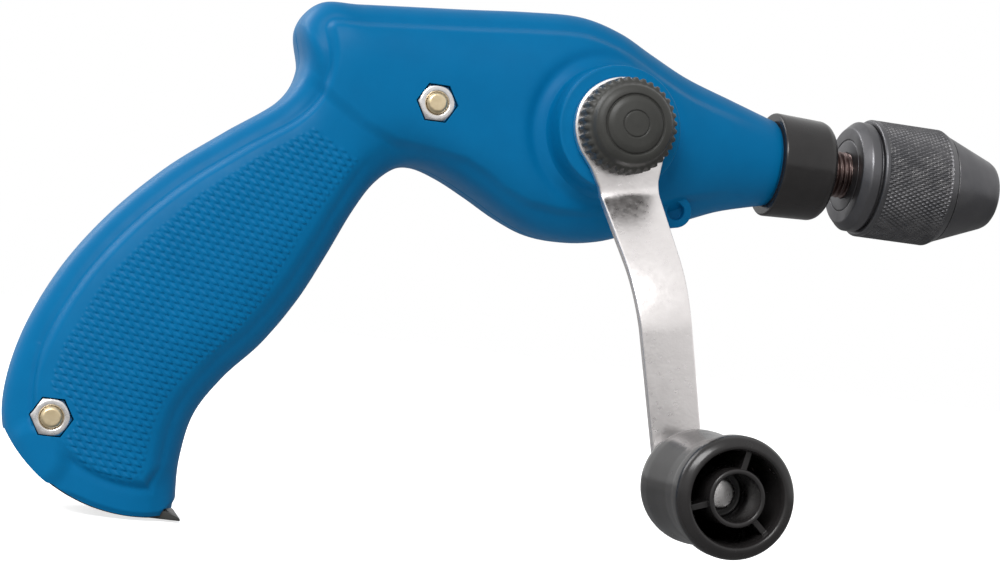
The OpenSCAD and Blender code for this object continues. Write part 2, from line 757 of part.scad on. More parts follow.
// Riveted into the arm, with a head that holds the handle on
module handle_rivet() {
    in_frame() color("gainsboro")
    lathe_y(handle_c, [[-arm_out_y + 1.2, 0], [-arm_out_y + 1.2, 2.6], [-arm_out_y + 0.9, 3.4],
        [-arm_out_y, 3.6], [-arm_out_y, rivet_r], [-rivet_head_y - 0.1, rivet_r], [-rivet_head_y - 0.1, 3.5],
        [-rivet_head_y - 0.9, 3.2], [-rivet_head_y - 1.5, 2.1], [-rivet_head_y - 1.7, 0]]);
}

module handle_washer() {
    in_frame() color("silver") ring_y(handle_c, -handle_y + 0.1, -arm_out_y - arm_t - 0.05, 5, rivet_r + 0.1);
}

// Hollow turning handle: outer barrel, inner tube and three ribs
module crank_handle() {
    y1 = handle_y + handle_len;
    in_frame() color([0.17, 0.17, 0.17])
    difference() {
        lathe_y(handle_c, [[-handle_y, 0], [-handle_y, 8.6], [-handle_y - 1, 9.6], [-handle_y - 4, 10.6],
            [-handle_y - 4.4, 10.3], [-handle_y - 4.9, 10.3], [-handle_y - 5.3, 11], [-handle_y - 8, 12],
            [-handle_y - 10, 12.3], [-handle_y - 13, 12.25], [-handle_y - 18, 11.75], [-handle_y - 23, 11.35],
            [-handle_y - 27, 11.3], [-y1 + 6.6, 11.5], [-y1 + 6, 11.2], [-y1 + 5.5, 11.2],
            [-y1 + 5.1, handle_r - 0.4], [-y1 + 4.6, handle_r],
            [-y1 + 2, handle_r], [-y1 + 0.8, handle_r - 0.5], [-y1, handle_r - 1.8], [-y1, 0]]);
        difference() {
            lathe_y(handle_c, [[-handle_y - 3, 0], [-handle_y - 3, 7.8], [-handle_y - 10, 9.4],
                [-handle_y - 22, 9.4], [-y1 - 1, 9.7], [-y1 - 1, 0]]);
            along_y(handle_c, -y1 + 0.4, -handle_y, 5.9);
            for (i = [0 : 2]) translate([handle_c[0], 0, handle_c[1]]) rotate([0, -78 - 120 * i, 0])
                translate([4, -y1 + 2.5, -0.6]) cube([7, handle_len - 3, 1.2]);
        }
        along_y(handle_c, -y1 - 1, -rivet_head_y, 4.95);
        along_y(handle_c, -y1 - 1, 0, rivet_r + run_gap);
    }
}

housing_left();
housing_right();
nose_collar();
housing_bolts();
housing_nuts();
front_screw();
spindle_front_bush();
spindle_rear_bush();
spindle_thrust_washer();
crank_bush_left();
crank_bush_right();
storage_door();
door_hinge_pin();
spindle();
spindle_circlip();
pinion();
pinion_pin();
chuck_body();
chuck_rear_ring();
chuck_sleeve();
chuck_nut();
chuck_jaw_1();
chuck_jaw_2();
chuck_jaw_3();
crank_shaft();
main_gear();
gear_pin();
shaft_washer();
shaft_circlip();
crank_arm();
crank_knob();
handle_rivet();
handle_washer();
crank_handle();
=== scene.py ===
import json
import math

import bmesh
import bpy
import numpy as np
from mathutils import Matrix, Vector


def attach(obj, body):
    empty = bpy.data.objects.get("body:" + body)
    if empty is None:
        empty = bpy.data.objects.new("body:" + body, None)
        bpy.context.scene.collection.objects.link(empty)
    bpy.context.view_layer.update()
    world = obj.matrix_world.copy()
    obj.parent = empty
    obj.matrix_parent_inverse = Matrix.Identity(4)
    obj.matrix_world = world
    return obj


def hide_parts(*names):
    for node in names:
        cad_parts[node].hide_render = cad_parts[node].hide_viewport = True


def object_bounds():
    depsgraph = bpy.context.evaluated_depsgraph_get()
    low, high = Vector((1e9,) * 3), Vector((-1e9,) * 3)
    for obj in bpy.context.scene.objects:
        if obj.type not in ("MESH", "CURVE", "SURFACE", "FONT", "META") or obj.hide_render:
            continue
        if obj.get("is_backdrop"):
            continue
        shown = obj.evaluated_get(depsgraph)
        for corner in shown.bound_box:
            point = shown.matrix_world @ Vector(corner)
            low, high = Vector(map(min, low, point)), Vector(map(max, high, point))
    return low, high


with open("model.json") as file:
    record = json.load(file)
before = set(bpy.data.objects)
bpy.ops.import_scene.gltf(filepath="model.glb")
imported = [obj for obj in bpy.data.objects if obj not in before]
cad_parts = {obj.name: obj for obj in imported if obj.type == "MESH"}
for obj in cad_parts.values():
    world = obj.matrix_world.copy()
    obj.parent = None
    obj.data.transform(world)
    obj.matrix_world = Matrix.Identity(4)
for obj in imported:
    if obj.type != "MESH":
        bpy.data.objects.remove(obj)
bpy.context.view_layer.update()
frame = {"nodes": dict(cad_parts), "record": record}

# Lengths are in millimetres until mesh_object() turns them into metres. X runs along the spindle towards the
# chuck, Z is up, and the crank is on the -Y side. The origin of these working coordinates is the point where
# the crank axis crosses the spindle axis. The model's own origin lies GRIP_X further along the spindle, in
# the middle of the jaws' grip.
MM = 0.001
SAME_PLACE = 0.0001 * MM
GRIP_X = 101.2


# ---------------------------------------------------------------- mesh helpers

def mesh_object(name, points, faces, sharp=38):
    """A closed mesh in the row frame, smooth except where faces meet at more than sharp degrees."""
    mesh = bpy.data.meshes.new(name)
    mesh.from_pydata((np.asarray(points, float) - [GRIP_X, 0, 0]) * MM, [], faces)
    merge_points(mesh)
    piece = bpy.data.objects.new(name, mesh)
    bpy.context.scene.collection.objects.link(piece)
    shade(piece, sharp)
    return piece


def merge_points(mesh):
    """Joins points that lie in one place, so that no face is left without an area."""
    work = bmesh.new()
    work.from_mesh(mesh)
    bmesh.ops.remove_doubles(work, verts=work.verts, dist=SAME_PLACE)
    bmesh.ops.recalc_face_normals(work, faces=work.faces)
    work.to_mesh(mesh)
    work.free()


def shade(piece, sharp=38):
    piece.data.shade_smooth()
    piece.data.set_sharp_from_angle(angle=math.radians(sharp))


def grid_faces(rows, columns, wrap_rows=False, wrap_columns=False):
    """Quads between the points of a grid stored row by row."""
    r = np.arange(rows if wrap_rows else rows - 1)
    c = np.arange(columns if wrap_columns else columns - 1)
    r, c = np.meshgrid(r, c, indexing="ij")
    r1, c1 = (r + 1) % rows, (c + 1) % columns
    quads = [r * columns + c, r * columns + c1, r1 * columns + c1, r1 * columns + c]
    return np.stack(quads, -1).reshape(-1, 4)


def apply_modifiers(piece):
    depsgraph = bpy.context.evaluated_depsgraph_get()
    mesh = bpy.data.meshes.new_from_object(piece.evaluated_get(depsgraph))
    piece.modifiers.clear()
    piece.data = mesh
    merge_points(mesh)


def combine(piece, tools, operation="DIFFERENCE", sharp=38):
    """Cuts the tools out of the piece, or joins them to it, and removes them."""
    for tool in tools:
        step = piece.modifiers.new("combine", "BOOLEAN")
        step.operation = operation
        step.solver = "MANIFOLD"
        step.object = tool
        apply_modifiers(piece)
        bpy.data.objects.remove(tool)
    shade(piece, sharp)
    return piece


def bevel(piece, width, segments=3, angle=35):
    """Rounds the piece's sharp edges."""
    step = piece.modifiers.new("round", "BEVEL")
    step.width = width * MM
    step.segments = segments
    step.limit_method = "ANGLE"
    step.angle_limit = math.radians(angle)
    step.miter_outer = "MITER_ARC"
    apply_modifiers(piece)
    shade(piece, angle + 10)
    return piece


def soften(profile, radius, ring=False, steps=4):
    """The profile with its corners rounded, each by at most half of its shorter neighbouring edge."""
    p = np.asarray(profile, float)
    count = len(p)
    out = []
    for i in range(count):
        if not ring and i in (0, count - 1):
            out.append(p[i])
            continue
        before, after = p[i - 1] - p[i], p[(i + 1) % count] - p[i]
        lb, la = np.linalg.norm(before), np.linalg.norm(after)
        r = min(radius, lb * 0.45, la * 0.45)
        a, b = p[i] + before / lb * r, p[i] + after / la * r
        for t in np.linspace(0, 1, steps + 1):
            out.append((1 - t) ** 2 * a + 2 * t * (1 - t) * p[i] + t * t * b)
    return np.array(out)


def finer(profile, step, ring=False):
    """The profile with no edge longer than step."""
    p = list(profile) + ([profile[0]] if ring else [])
    out = []
    for a, b in zip(p[:-1], p[1:]):
        n = max(1, math.ceil(np.linalg.norm(np.subtract(b, a)) / step))
        out += [np.asarray(a) + (np.subtract(b, a)) * k / n for k in range(n)]
    return np.array(out if ring else out + [p[-1]])


def lathe(name, axis, profile, centre=(0, 0), steps=144, shape=None, ring=False, sharp=38):
    """Solid of revolution about X or Y from [station, radius] points. shape(station, angle, radius) may
    change the radius. A profile that isn't a ring starts and ends on the axis."""
    p = np.asarray(profile, float)
    body = p if ring else p[1:-1]
    angle = np.arange(steps) * 2 * math.pi / steps
    station, turn = np.meshgrid(body[:, 0], angle, indexing="ij")
    radius = np.repeat(body[:, 1][:, None], steps, 1)
    if shape:
        radius = shape(station, turn, radius)
    points = place(axis, centre, station, radius * np.cos(turn), radius * np.sin(turn)).reshape(-1, 3)
    faces = grid_faces(len(body), steps, wrap_rows=ring, wrap_columns=True).tolist()
    if not ring:
        ends = place(axis, centre, p[[0, -1], 0], np.zeros(2), np.zeros(2))
        first, last = len(points), len(points) + 1
        points = np.vstack([points, ends])
        base = (len(body) - 1) * steps
        faces += [[first, k, (k + 1) % steps] for k in range(steps)]
        faces += [[last, base + (k + 1) % steps, base + k] for k in range(steps)]
    return mesh_object(name, points, faces, sharp)


def place(axis, centre, along, u, v):
    """Points at a station along the axis, with u and v across it."""
    if axis == "X":
        return np.stack([along, u, v], -1)
    return np.stack([centre[0] + u, along, centre[1] + v], -1)


def cylinder(axis, start, end, radius, centre=(0, 0), steps=64):
    return lathe("tool", axis, [[start, 0], [start, radius], [end, radius], [end, 0]], centre, steps)


def prism(name, outline, y0, y1, sharp=38):
    """A plate in the XZ plane between two stations of Y."""
    count = len(outline)
    points = [[x, y, z] for y in (y0, y1) for x, z in outline]
    faces = [[k, (k + 1) % count, count + (k + 1) % count, count + k] for k in range(count)]
    faces += [list(range(count)), list(range(2 * count - 1, count - 1, -1))]
    return mesh_object(name, points, faces, sharp)


def hexagon(flats):
    """Radius of a hexagon at an angle, with corners along +-X."""
    def radius(angle):
        return flats / 2 / np.cos(np.mod(angle, math.pi / 3) - math.pi / 6)
    return radius


def arc(centre, radius, start, end, count):
    angles = np.radians(np.linspace(start, end, count))
    return np.stack([centre[0] + radius * np.cos(angles), centre[1] + radius * np.sin(angles)], -1)


def ramp(x, start, end):
    """0 before start, 1 after end, smooth between."""
    t = np.clip((x - start) / (end - start), 0, 1)
    return t * t * (3 - 2 * t)


def hump(x, centre, width):
    return np.exp(-((x - centre) / width) ** 2)


# ---------------------------------------------------------------- housing

WALL = 2.4
BOSS_FACE = 30.2
BOSS_R = 14.5
FOOT_C = np.array([-97.0, -64.0])
FOOT_R = 36.4
FOOT_HALF = 20          # depth below FOOT_C at which the foot's arc starts, at the back
DOOR_START = -123.6     # angle round FOOT_C at which the door's edge comes out from behind the shells
DOOR_START_X = -117.4   # X of the same place
CORNER_C = np.array([-92.2, -95.9])
CORNER_R = 4.2
CORNER_START = -81.4
DOOR_R = 36.9
DOOR_T = 2.0
DOOR_HALF = 10.4
DOOR_GAP = 0.3          # room between the door and the shells
HINGE_ANGLE = -133.8
KNUCKLE_R = 2.1
KNUCKLE_GAP = 0.4
COVER_R = (4.5, 9)      # the skin keeps its full height inside the first distance from the hinge
LIP_ANGLE = -84
LIP_TIP = [[-86.8, -100.9], [-86.9, -100.3], [-90.2, -98.9]]
LIP_ROOM = (-91.6, -98.4)   # upper back corner of the lip's way out at the front
UPPER_BOLT = (-41.0, 0.9)
LOWER_BOLT = (-118.1, -80.2)
UPPER_NUT_Y = 19.4
LOWER_NUT_Y = 15.0
NUT_FLATS = 8.0
NUT_H = 4.0
UPPER_BOSS = (5.6, 17, 18)  # radius and reach of the boss inside, and depth of its bolt hole
LOWER_BOSS = (4.6, 13.4, 14)
BOLT_ROOM_R = 2.6
FRONT_BOSS = (21.2, -15.7)
FRONT_BOSS_R = 4
FRONT_BOSS_Y = 12.5
SPIGOT_R = 10.2
SPIGOT_BORE_R = 7
SPIGOT_X = (44, 58)
BUSH_ROOM_R = 6         # bores for the crank's bushes
REAR_BUSH_ROOM_R = 5

# Relief of the skin
RIM_DROP = 1.15         # how far the rim lies below the side
RIM_START = 4.4         # distance from the edge at which the skin starts to rise
RIM_FOOT = 2            # extra distance near the foot
RIM_WIDTH = 3.0
RIM_GROOVE = 0.3
STEP_DROP = 1.0         # how far the body's lower part lies below its side
MOAT_R = BOSS_R + 3.4
MOAT_DEPTH = 0.75
SEAM_DEPTH = 0.16
EDGE_DROP = 0.7         # rounding of the foot's edge

# Rungs of the loft, from the nose round to the foot: back x, back z, front x, front z, half thickness and
# squareness
RUNGS = np.array([
    [47, 10.8, 47, -10.5, 10.8, 2],
    [35, 14.3, 36, -13.4, 13.2, 2.1],
    [22.5, 17.9, 26.5, -17.2, 15.8, 2.3],
    [12, 22.2, 15.5, -21.2, 18.4, 2.6],
    [3, 25.9, 5.5, -24.9, 20.6, 3],
    [-7, 28.1, -3, -26, 21.2, 3],
    [-20, 27.3, -11, -25.4, 20.8, 3],
    [-34, 25.7, -18.5, -22.6, 20.2, 3],
    [-48, 24.2, -26, -18.6, 19.8, 3],
    [-60, 22.9, -33.5, -15, 19.4, 3],
    [-68.8, 21.9, -40.5, -13, 19, 3],
    [-73, 16.2, -46, -14, 18.4, 3],
    [-71.4, 6.8, -51.2, -18.6, 17.6, 3],
    [-75.2, -1.8, -55.5, -26, 16.8, 3],
    [-87.2, -11.2, -60.3, -37, 16.2, 3],
    [-99.5, -21.2, -65.5, -47.8, 15.9, 3],
    [-111.4, -34, -72.5, -58.6, 15.7, 3],
    [-120.8, -48.2, -80.3, -67.4, 15.6, 3],
    [-127.3, -64.4, -86, -76.5, 15.6, 3],
    [-129.1, -80, -88, -86.4, 15.6, 3],
    [-124.8, -93, -88, -95, 15.6, 3],
    [-117, -104, -87, -104, 15.6, 3],
])
LAST = len(RUNGS) - 1
GRIP_START = 11         # rung where the grip begins
FINE_STEP = 0.22        # spacing of the loft's sections in the grip
COARSE_STEP = 0.6       # spacing of the loft's sections elsewhere
AROUND = 256            # points round the outside of a half section
INSIDE = 28             # points round its inside

# Edge of the scale pattern on the grip
GRIP_PANEL = np.array([
    [-68.2, -8.5], [-78.5, -15.7], [-91.1, -26.1], [-101.7, -37.6], [-110.3, -48.8], [-117.4, -64],
    [-119.2, -72], [-115.6, -84.5], [-110.7, -90], [-104.2, -92.6], [-99, -92.8], [-96.8, -90], [-96.4, -84],
    [-95.4, -77.8], [-92.1, -70.3], [-86.4, -63.8], [-79.4, -56.6], [-74.5, -48.7], [-67.8, -31.9],
    [-61.7, -21.4], [-57, -14.5],
])
# Lower edge of the raised side of the body, from the back to the nose
BODY_STEP = np.array([
    [-76, 8], [-69, 2.2], [-64.4, -1.1], [-57, -5.8], [-48.5, -9], [-40, -10.1], [-32, -11.3], [-27, -13.7],
    [-22.5, -16.6], [-16.5, -19], [-9, -20], [-1.7, -19.6], [10, -17.5], [22, -13], [36, -9.5],
])
SCALE_PITCH = (1.5, 1.62)
SCALE_ANGLE = (-6.0, -52.0)
SCALE_H = 0.44
SCALE_SINK = 0.12       # how far the pattern's ground lies below the skin
SCALE_SIDES = (4.5, 1.7)    # how steep each scale's two sides are


def catmull(table, t):
    """Smooth row of the table at position t."""
    i = np.clip(np.floor(t).astype(int), 0, len(table) - 2)
    f = (t - i)[:, None]
    a, b, c, d = (table[np.clip(i + k, 0, len(table) - 1)] for k in (-1, 0, 1, 2))
    square, cube = 2 * a - 5 * b + 4 * c - d, 3 * b - 3 * c + d - a
    return 0.5 * (2 * b + (c - a) * f + square * f ** 2 + cube * f ** 3)


def loft_positions():
    """Positions along the loft, close together where the grip pattern is."""
    t = np.linspace(0, LAST, 4001)
    rows = catmull(RUNGS, t)
    middle = (rows[:, 0:2] + rows[:, 2:4]) / 2
    step = np.linalg.norm(np.diff(middle, axis=0), axis=1)
    wide = np.maximum(step, np.linalg.norm(np.diff(rows[:, 0:2], axis=0), axis=1))
    size = np.where(t[1:] > GRIP_START, FINE_STEP, COARSE_STEP)
    length = np.concatenate([[0], np.cumsum(wide / size)])
    return np.interp(np.linspace(0, length[-1], int(length[-1]) + 1), length, t)


def section(rows, inset, angle):
    """Half sections on the -Y side: points [x, y, z] by row and angle, and how far back each lies, 1 to -1."""
    back, front = rows[:, None, 0:2], rows[:, None, 2:4]
    half = np.linalg.norm(back - front, axis=2) / 2
    across = (back - front) / (2 * half[..., None])
    power = 2 / rows[:, None, 5]
    c, s = np.cos(angle), np.clip(np.sin(angle), 0, 1)
    share = np.sign(c) * np.abs(c) ** power
    xz = (back + front) / 2 + across * ((half - inset) * share)[..., None]
    y = -(rows[:, None, 4] - inset) * s ** power
    return np.stack([xz[..., 0], y, xz[..., 1]], -1), share


def even_angles(rows, count):
    """Angles that space the points of each half section evenly."""
    angle = np.linspace(0, math.pi, 1441)
    angle[-1] = math.pi
    points, _ = section(rows, 0, np.broadcast_to(angle, (len(rows), len(angle))))
    step = np.linalg.norm(np.diff(points, axis=1), axis=2)
    length = np.concatenate([np.zeros((len(rows), 1)), np.cumsum(step, 1)], 1)
    share = np.linspace(0, 1, count)
    return np.array([np.interp(share * row[-1], row, angle) for row in length])


def distance_to(points, line):
    """Distance from each [x, z] point to a polyline."""
    a, b = line[:-1], line[1:]
    best = np.full(len(points), 1e9)
    for p, q in zip(a, b):
        d = q - p
        t = np.clip(((points - p) @ d) / max(d @ d, 1e-9), 0, 1)
        best = np.minimum(best, np.linalg.norm(points - p - t[:, None] * d, axis=1))
    return best


def inside(points, outline):
    """True for each [x, z] point inside the closed outline."""
    x, z = points[:, 0], points[:, 1]
    hit = np.zeros(len(points), bool)
    for (x0, z0), (x1, z1) in zip(outline, np.roll(outline, -1, axis=0)):
        crosses = (z0 > z) != (z1 > z)
        with np.errstate(divide="ignore", invalid="ignore"):
            at = (x1 - x0) * (z - z0) / (z1 - z0) + x0
        hit ^= crosses & (x < at)
    return hit


def above_line(points, line):
    """True for each [x, z] point above a polyline that runs along X."""
    return points[:, 1] > np.interp(points[:, 0], line[:, 0], line[:, 1])


def scales(xz):
    """Height of the grip's scale pattern: rows of small leaning diamonds."""
    waves = []
    for pitch, angle in zip(SCALE_PITCH, SCALE_ANGLE):
        a = math.radians(angle)
        waves.append((xz[:, 0] * -math.sin(a) + xz[:, 1] * math.cos(a)) / pitch)
    row, lean = np.mod(waves[0], 1), np.mod(waves[1], 1)
    steep, gentle = SCALE_SIDES
    ridge = np.clip(np.minimum(row * steep, (1 - row) * gentle), 0, 1)
    rib = np.clip(np.minimum(lean * gentle, (1 - lean) * steep), 0, 1)
    return SCALE_H * ridge * rib


def relief(xz, share, t, facing, crank_side):
    """How far the outside stands off the plain loft: rim, body step, moat round the crank boss and scales."""
    line_t = np.linspace(0, LAST, 8 * LAST + 1)
    rows = catmull(RUNGS, line_t)
    edge = np.minimum(distance_to(xz, rows[:, 0:2]), distance_to(xz, rows[:, 2:4]))
    foot = np.where(xz[:, 1] < FOOT_C[1], foot_depth(xz), 99)
    front = ramp(-share, -0.15, 0.15)
    on_grip = ramp(t, GRIP_START + 0.5, GRIP_START + 3)
    near_foot = 1 - ramp(foot, 6, 12)
    start = RIM_START + RIM_FOOT * near_foot
    off_body_front = 1 - front * (1 - on_grip)
    softer_front = 1 - 0.65 * front * on_grip * (1 - near_foot)
    drop = RIM_DROP * off_body_front * softer_front * ramp(t, 0.2, 2.2)
    depth = np.minimum(edge, foot)
    height = -drop * (1 - ramp(depth, start, start + RIM_WIDTH))
    height -= RIM_GROOVE * hump(depth, start - 0.3, 0.9) * drop
    below = distance_to(xz, BODY_STEP) * np.where(above_line(xz, BODY_STEP), -1, 1)
    on_body = ramp(t, 0.4, 2.4) * (1 - ramp(t, GRIP_START + 1, GRIP_START + 4))
    height -= STEP_DROP * ramp(below, -1.4, 1.8) * (1 - ramp(below, 5, 20)) * on_body
    if crank_side:
        out = np.linalg.norm(xz, axis=1)
        height -= MOAT_DEPTH * hump(out, MOAT_R, 1.7) * ramp(depth, 2, 6)
    height *= ramp(facing, 0.25, 0.85)
    panel_edge = distance_to(xz, np.vstack([GRIP_PANEL, GRIP_PANEL[:1]]))
    panel = np.where(inside(xz, GRIP_PANEL), 1, -1) * panel_edge
    from_bolt = np.linalg.norm(xz - np.array(LOWER_BOLT), axis=1)
    height += ramp(panel, -0.3, 0.5) * ramp(from_bolt, 5.2, 6) * (scales(xz) - SCALE_SINK)
    by_hinge = np.linalg.norm(xz - hinge_centre(), axis=1)
    return height * ramp(by_hinge, *COVER_R)


def shell(name, crank_side):
    """One half of the housing as a closed shell, with its relief, before its bosses and holes."""
    t = loft_positions()
    rows = catmull(RUNGS, t)
    angle = even_angles(rows, AROUND)
    outer, share = section(rows, 0, angle)
    normal = np.cross(np.gradient(outer, axis=0), np.gradient(outer, axis=1))
    normal /= np.linalg.norm(normal, axis=2, keepdims=True) + 1e-12
    normal *= np.sign((normal[..., 1] * outer[..., 1]).mean())
    normal[:, [0, -1], 1] = 0
    flat = outer[..., [0, 2]].reshape(-1, 2)
    where = np.repeat(t[:, None], AROUND, 1).ravel()
    facing = np.abs(normal[..., 1]).ravel()
    height = relief(flat, share.ravel(), where, facing, crank_side).reshape(share.shape)
    from_seam = np.abs(outer[..., 1])
    height -= SEAM_DEPTH * (1 - ramp(from_seam, 0.05, 0.45))
    rim = foot_depth(outer[..., [0, 2]])
    below_corner = ramp(-outer[..., 2], -CORNER_C[1], 2 - CORNER_C[1])
    height -= EDGE_DROP * (1 - ramp(rim, -0.1, 1.3)) * below_corner
    outer = outer + normal * height[..., None]
    outer[:, [0, -1], 1] = 0
    inner_angle = np.broadcast_to(np.linspace(math.pi, 0, INSIDE), (len(rows), INSIDE))
    inner, _ = section(rows, WALL, inner_angle)
    inner[:, [0, -1], 1] = 0
    ring = np.concatenate([outer, inner], axis=1)
    if not crank_side:
        ring[..., 1] *= -1
    count = ring.shape[1]
    faces = grid_faces(len(rows), count, wrap_columns=True).tolist()
    base = (len(rows) - 1) * count
    for start in (0, base):
        faces += cap(start, AROUND, INSIDE)
    return mesh_object(name, ring.reshape(-1, 3), faces)


def cap(start, outside, inside_count):
    """Triangles that close one end of a shell, between its outer and its inner arc."""
    faces = []
    i, j = 0, 0
    while i < outside - 1 or j < inside_count - 1:
        a = start + i
        b = start + outside + inside_count - 1 - j
        outside_next = (i + 1) / (outside - 1) <= (j + 1) / (inside_count - 1)
        if j >= inside_count - 1 or (i < outside - 1 and outside_next):
            faces.append([a, a + 1, b])
            i += 1
        else:
            faces.append([a, b - 1, b])
            j += 1
    return faces


def foot_point(radius, angle):
    a = math.radians(angle)
    return FOOT_C + radius * np.array([math.cos(a), math.sin(a)])


def hinge_centre():
    return foot_point(DOOR_R - KNUCKLE_R, HINGE_ANGLE)


def foot_tool():
    """Everything below the arc of the foot and its rounded front corner."""
    back_angle = math.degrees(math.asin(FOOT_HALF / FOOT_R)) - 180
    outline = np.vstack([arc(FOOT_C, DOOR_R + 0.05, back_angle, DOOR_START, 30),
                         arc(FOOT_C, FOOT_R, DOOR_START + 2, CORNER_START, 90),
                         arc(CORNER_C, CORNER_R, CORNER_START, 0, 16)])
    left, right = FOOT_C[0] - 50, FOOT_C[0] + 30
    top, bottom = FOOT_C[1] - FOOT_HALF, FOOT_C[1] - 60
    corners = [[right, CORNER_C[1]], [right, bottom], [left, bottom], [left, top]]
    return prism("tool", np.vstack([outline, corners]), -40, 40)


def foot_depth(xz):
    """Distance of [x, z] points inside the edge of the foot."""
    radius = np.where(xz[..., 0] < DOOR_START_X, DOOR_R + 0.05, FOOT_R)
    depth = radius - np.linalg.norm(xz - FOOT_C, axis=-1)
    corner = CORNER_R - np.linalg.norm(xz - CORNER_C, axis=-1)
    in_corner = (xz[..., 0] > CORNER_C[0]) & (xz[..., 1] < CORNER_C[1])
    return np.where(in_corner, np.minimum(depth, corner), depth)


def hex_tool(centre, y0, y1, flats):
    return prism("tool", arc(centre, flats / math.sqrt(3), 0, 300, 6), y0, y1)


def door_room():
    """Room for the door, its knuckle and its lip between the side walls of the shells."""
    half = DOOR_HALF + DOOR_GAP
    inner, outer = DOOR_R - DOOR_T - DOOR_GAP, FOOT_R + 3
    last = -math.degrees(math.acos((LIP_ROOM[0] - FOOT_C[0]) / inner))
    left, right, low = LIP_ROOM[0], LIP_ROOM[0] + 10, LIP_ROOM[1] - 10
    outline = np.vstack([arc(FOOT_C, inner, last, -133, 60), arc(FOOT_C, outer, -133, -100, 30),
                         [[left, low], [right, low], [right, LIP_ROOM[1]], [left, LIP_ROOM[1]]]])
    knuckle = cylinder("Y", -half, half, KNUCKLE_R + KNUCKLE_GAP, hinge_centre())
    return [prism("tool", outline, -half, half), knuckle]


def crank_boss():
    """Round boss that carries the crank shaft, flared where it meets the shell."""
    flare = [[-16.5, 0], [-16.5, 10], [-17.5, BOSS_R + 2.2], [-19.9, BOSS_R + 1.1], [-21.4, BOSS_R + 0.45],
             [-23, BOSS_R + 0.2], [-BOSS_FACE, BOSS_R], [-BOSS_FACE, 0]]
    return lathe("tool", "Y", soften(flare, 0.7), steps=160)


def screw_boss(sign):
    """Boss of the screw behind the nose, blind on the crank's side and open on the other."""
    floor, hole = (10.5, 2.1) if sign < 0 else (10.3, 3.4)
    face = sign * FRONT_BOSS_Y
    profile = [[0, 0], [0, FRONT_BOSS_R], [face, FRONT_BOSS_R], [face, hole], [sign * floor, hole],
               [sign * floor, 0]]
    return lathe("tool", "Y", soften(profile, 0.4), FRONT_BOSS, steps=64)


def housing_half(name, crank_side):
    sign = -1 if crank_side else 1
    piece = shell(name, crank_side)
    joins = [screw_boss(sign), spigot(sign)]
    bolts = ((UPPER_BOLT, UPPER_NUT_Y, UPPER_BOSS), (LOWER_BOLT, LOWER_NUT_Y, LOWER_BOSS))
    for centre, _, (radius, reach, _) in bolts:
        joins.append(cylinder("Y", 0, sign * reach, radius, centre))
    if crank_side:
        joins.append(crank_boss())
    else:
        joins.append(cylinder("Y", 9, 19, 9))
        joins.append(prism("tool", [[9.5, -6.8], [15.5, -6.8], [15.5, 6.8], [9.5, 6.8]], -6.8, 16.8))
    combine(piece, joins, "UNION")
    cuts = [foot_tool(), *door_room()]
    for centre, _, (_, _, hole) in bolts:
        cuts.append(cylinder("Y", sign * hole, 0, BOLT_ROOM_R, centre))
    for centre, nut_y, _ in bolts:
        cuts.append(hex_tool(centre, sign * (nut_y - NUT_H), sign * (nut_y + 6), NUT_FLATS + 0.5))
    if crank_side:
        cuts.append(cylinder("Y", -BOSS_FACE - 1, -14, BUSH_ROOM_R))
    else:
        cuts += [cylinder("Y", 8, 18, BUSH_ROOM_R), cylinder("X", 8, 17, REAR_BUSH_ROOM_R)]
    combine(piece, cuts, "DIFFERENCE", sharp=32)
    return finish_piece(piece, name, "housing", "blue_shell")


def spigot(sign):
    """Half of the spigot at the nose, under the collar."""
    turn = np.radians(np.linspace(0, 180, 49))
    back = turn[::-1]
    outline = np.concatenate([
        np.stack([SPIGOT_R * np.cos(turn), SPIGOT_R * np.sin(turn)], -1),
        np.stack([SPIGOT_BORE_R * np.cos(back), SPIGOT_BORE_R * np.sin(back)], -1)])
    count = len(outline)
    points = [[x, sign * y, z] for x in SPIGOT_X for z, y in outline]
    faces = [[k, (k + 1) % count, count + (k + 1) % count, count + k] for k in range(count)]
    faces += [list(range(count)), list(range(2 * count - 1, count - 1, -1))]
    return mesh_object("tool", points, faces)


# ---------------------------------------------------------------- nose, spindle and chuck

COLLAR_X = (47.5, 62.0)
THREAD_R = 5.8
THREAD_PITCH = 1.25
THREAD_DEPTH = 0.72
THREAD_X = (61.2, 79.0)
SLEEVE_X = (72.9, 91.2)
SLEEVE_R = 14.8
BODY_R = 13.15
CHUCK_X0 = 68.0
RING_X1 = 72.6
CONE_X0 = 93.2
NOSE_X = 107.4
KNURL_X = (74.0, 91.0)
KNURL_COUNT = 84
KNURL_ANGLE = 30
KNURL_H = 0.36
JAW_ANGLE = 15
JAW_R = 2.2
JAW_FRONT = (106.0, 3.0)    # a point on a jaw hole's axis: X and distance from the spindle axis
JAW_BACK_X = 76
SHANK_ROOM_R = 3.9


def nose_collar():
    start, end = COLLAR_X
    profile = [[start, SPIGOT_R + 0.02], [start, 12.6], [start + 0.4, 12.9], [59.8, 12.45], [60.9, 12],
               [61.7, 11.2], [end, 10], [end, 6.3], [59.2, 6.3], [59.2, 9], [58.1, 9],
               [58.1, SPIGOT_R + 0.02]]
    piece = lathe("nose_collar_ring", "X", soften(profile, 0.35, ring=True), steps=160, ring=True)
    return finish_piece(piece, "nose_collar", "housing", "gloss_black")


def thread(station, turn, radius):
    """Helical thread between THREAD_X, fading out at both ends."""
    phase = np.mod(station / THREAD_PITCH - turn / (2 * math.pi), 1)
    groove = np.clip(1.6 * np.minimum(phase, 1 - phase) - 0.1, 0, 0.6) / 0.6
    start, end = THREAD_X
    fade = ramp(station, start, start + 0.8) * (1 - ramp(station, end - 1, end))
    return radius - THREAD_DEPTH * (1 - groove) * fade


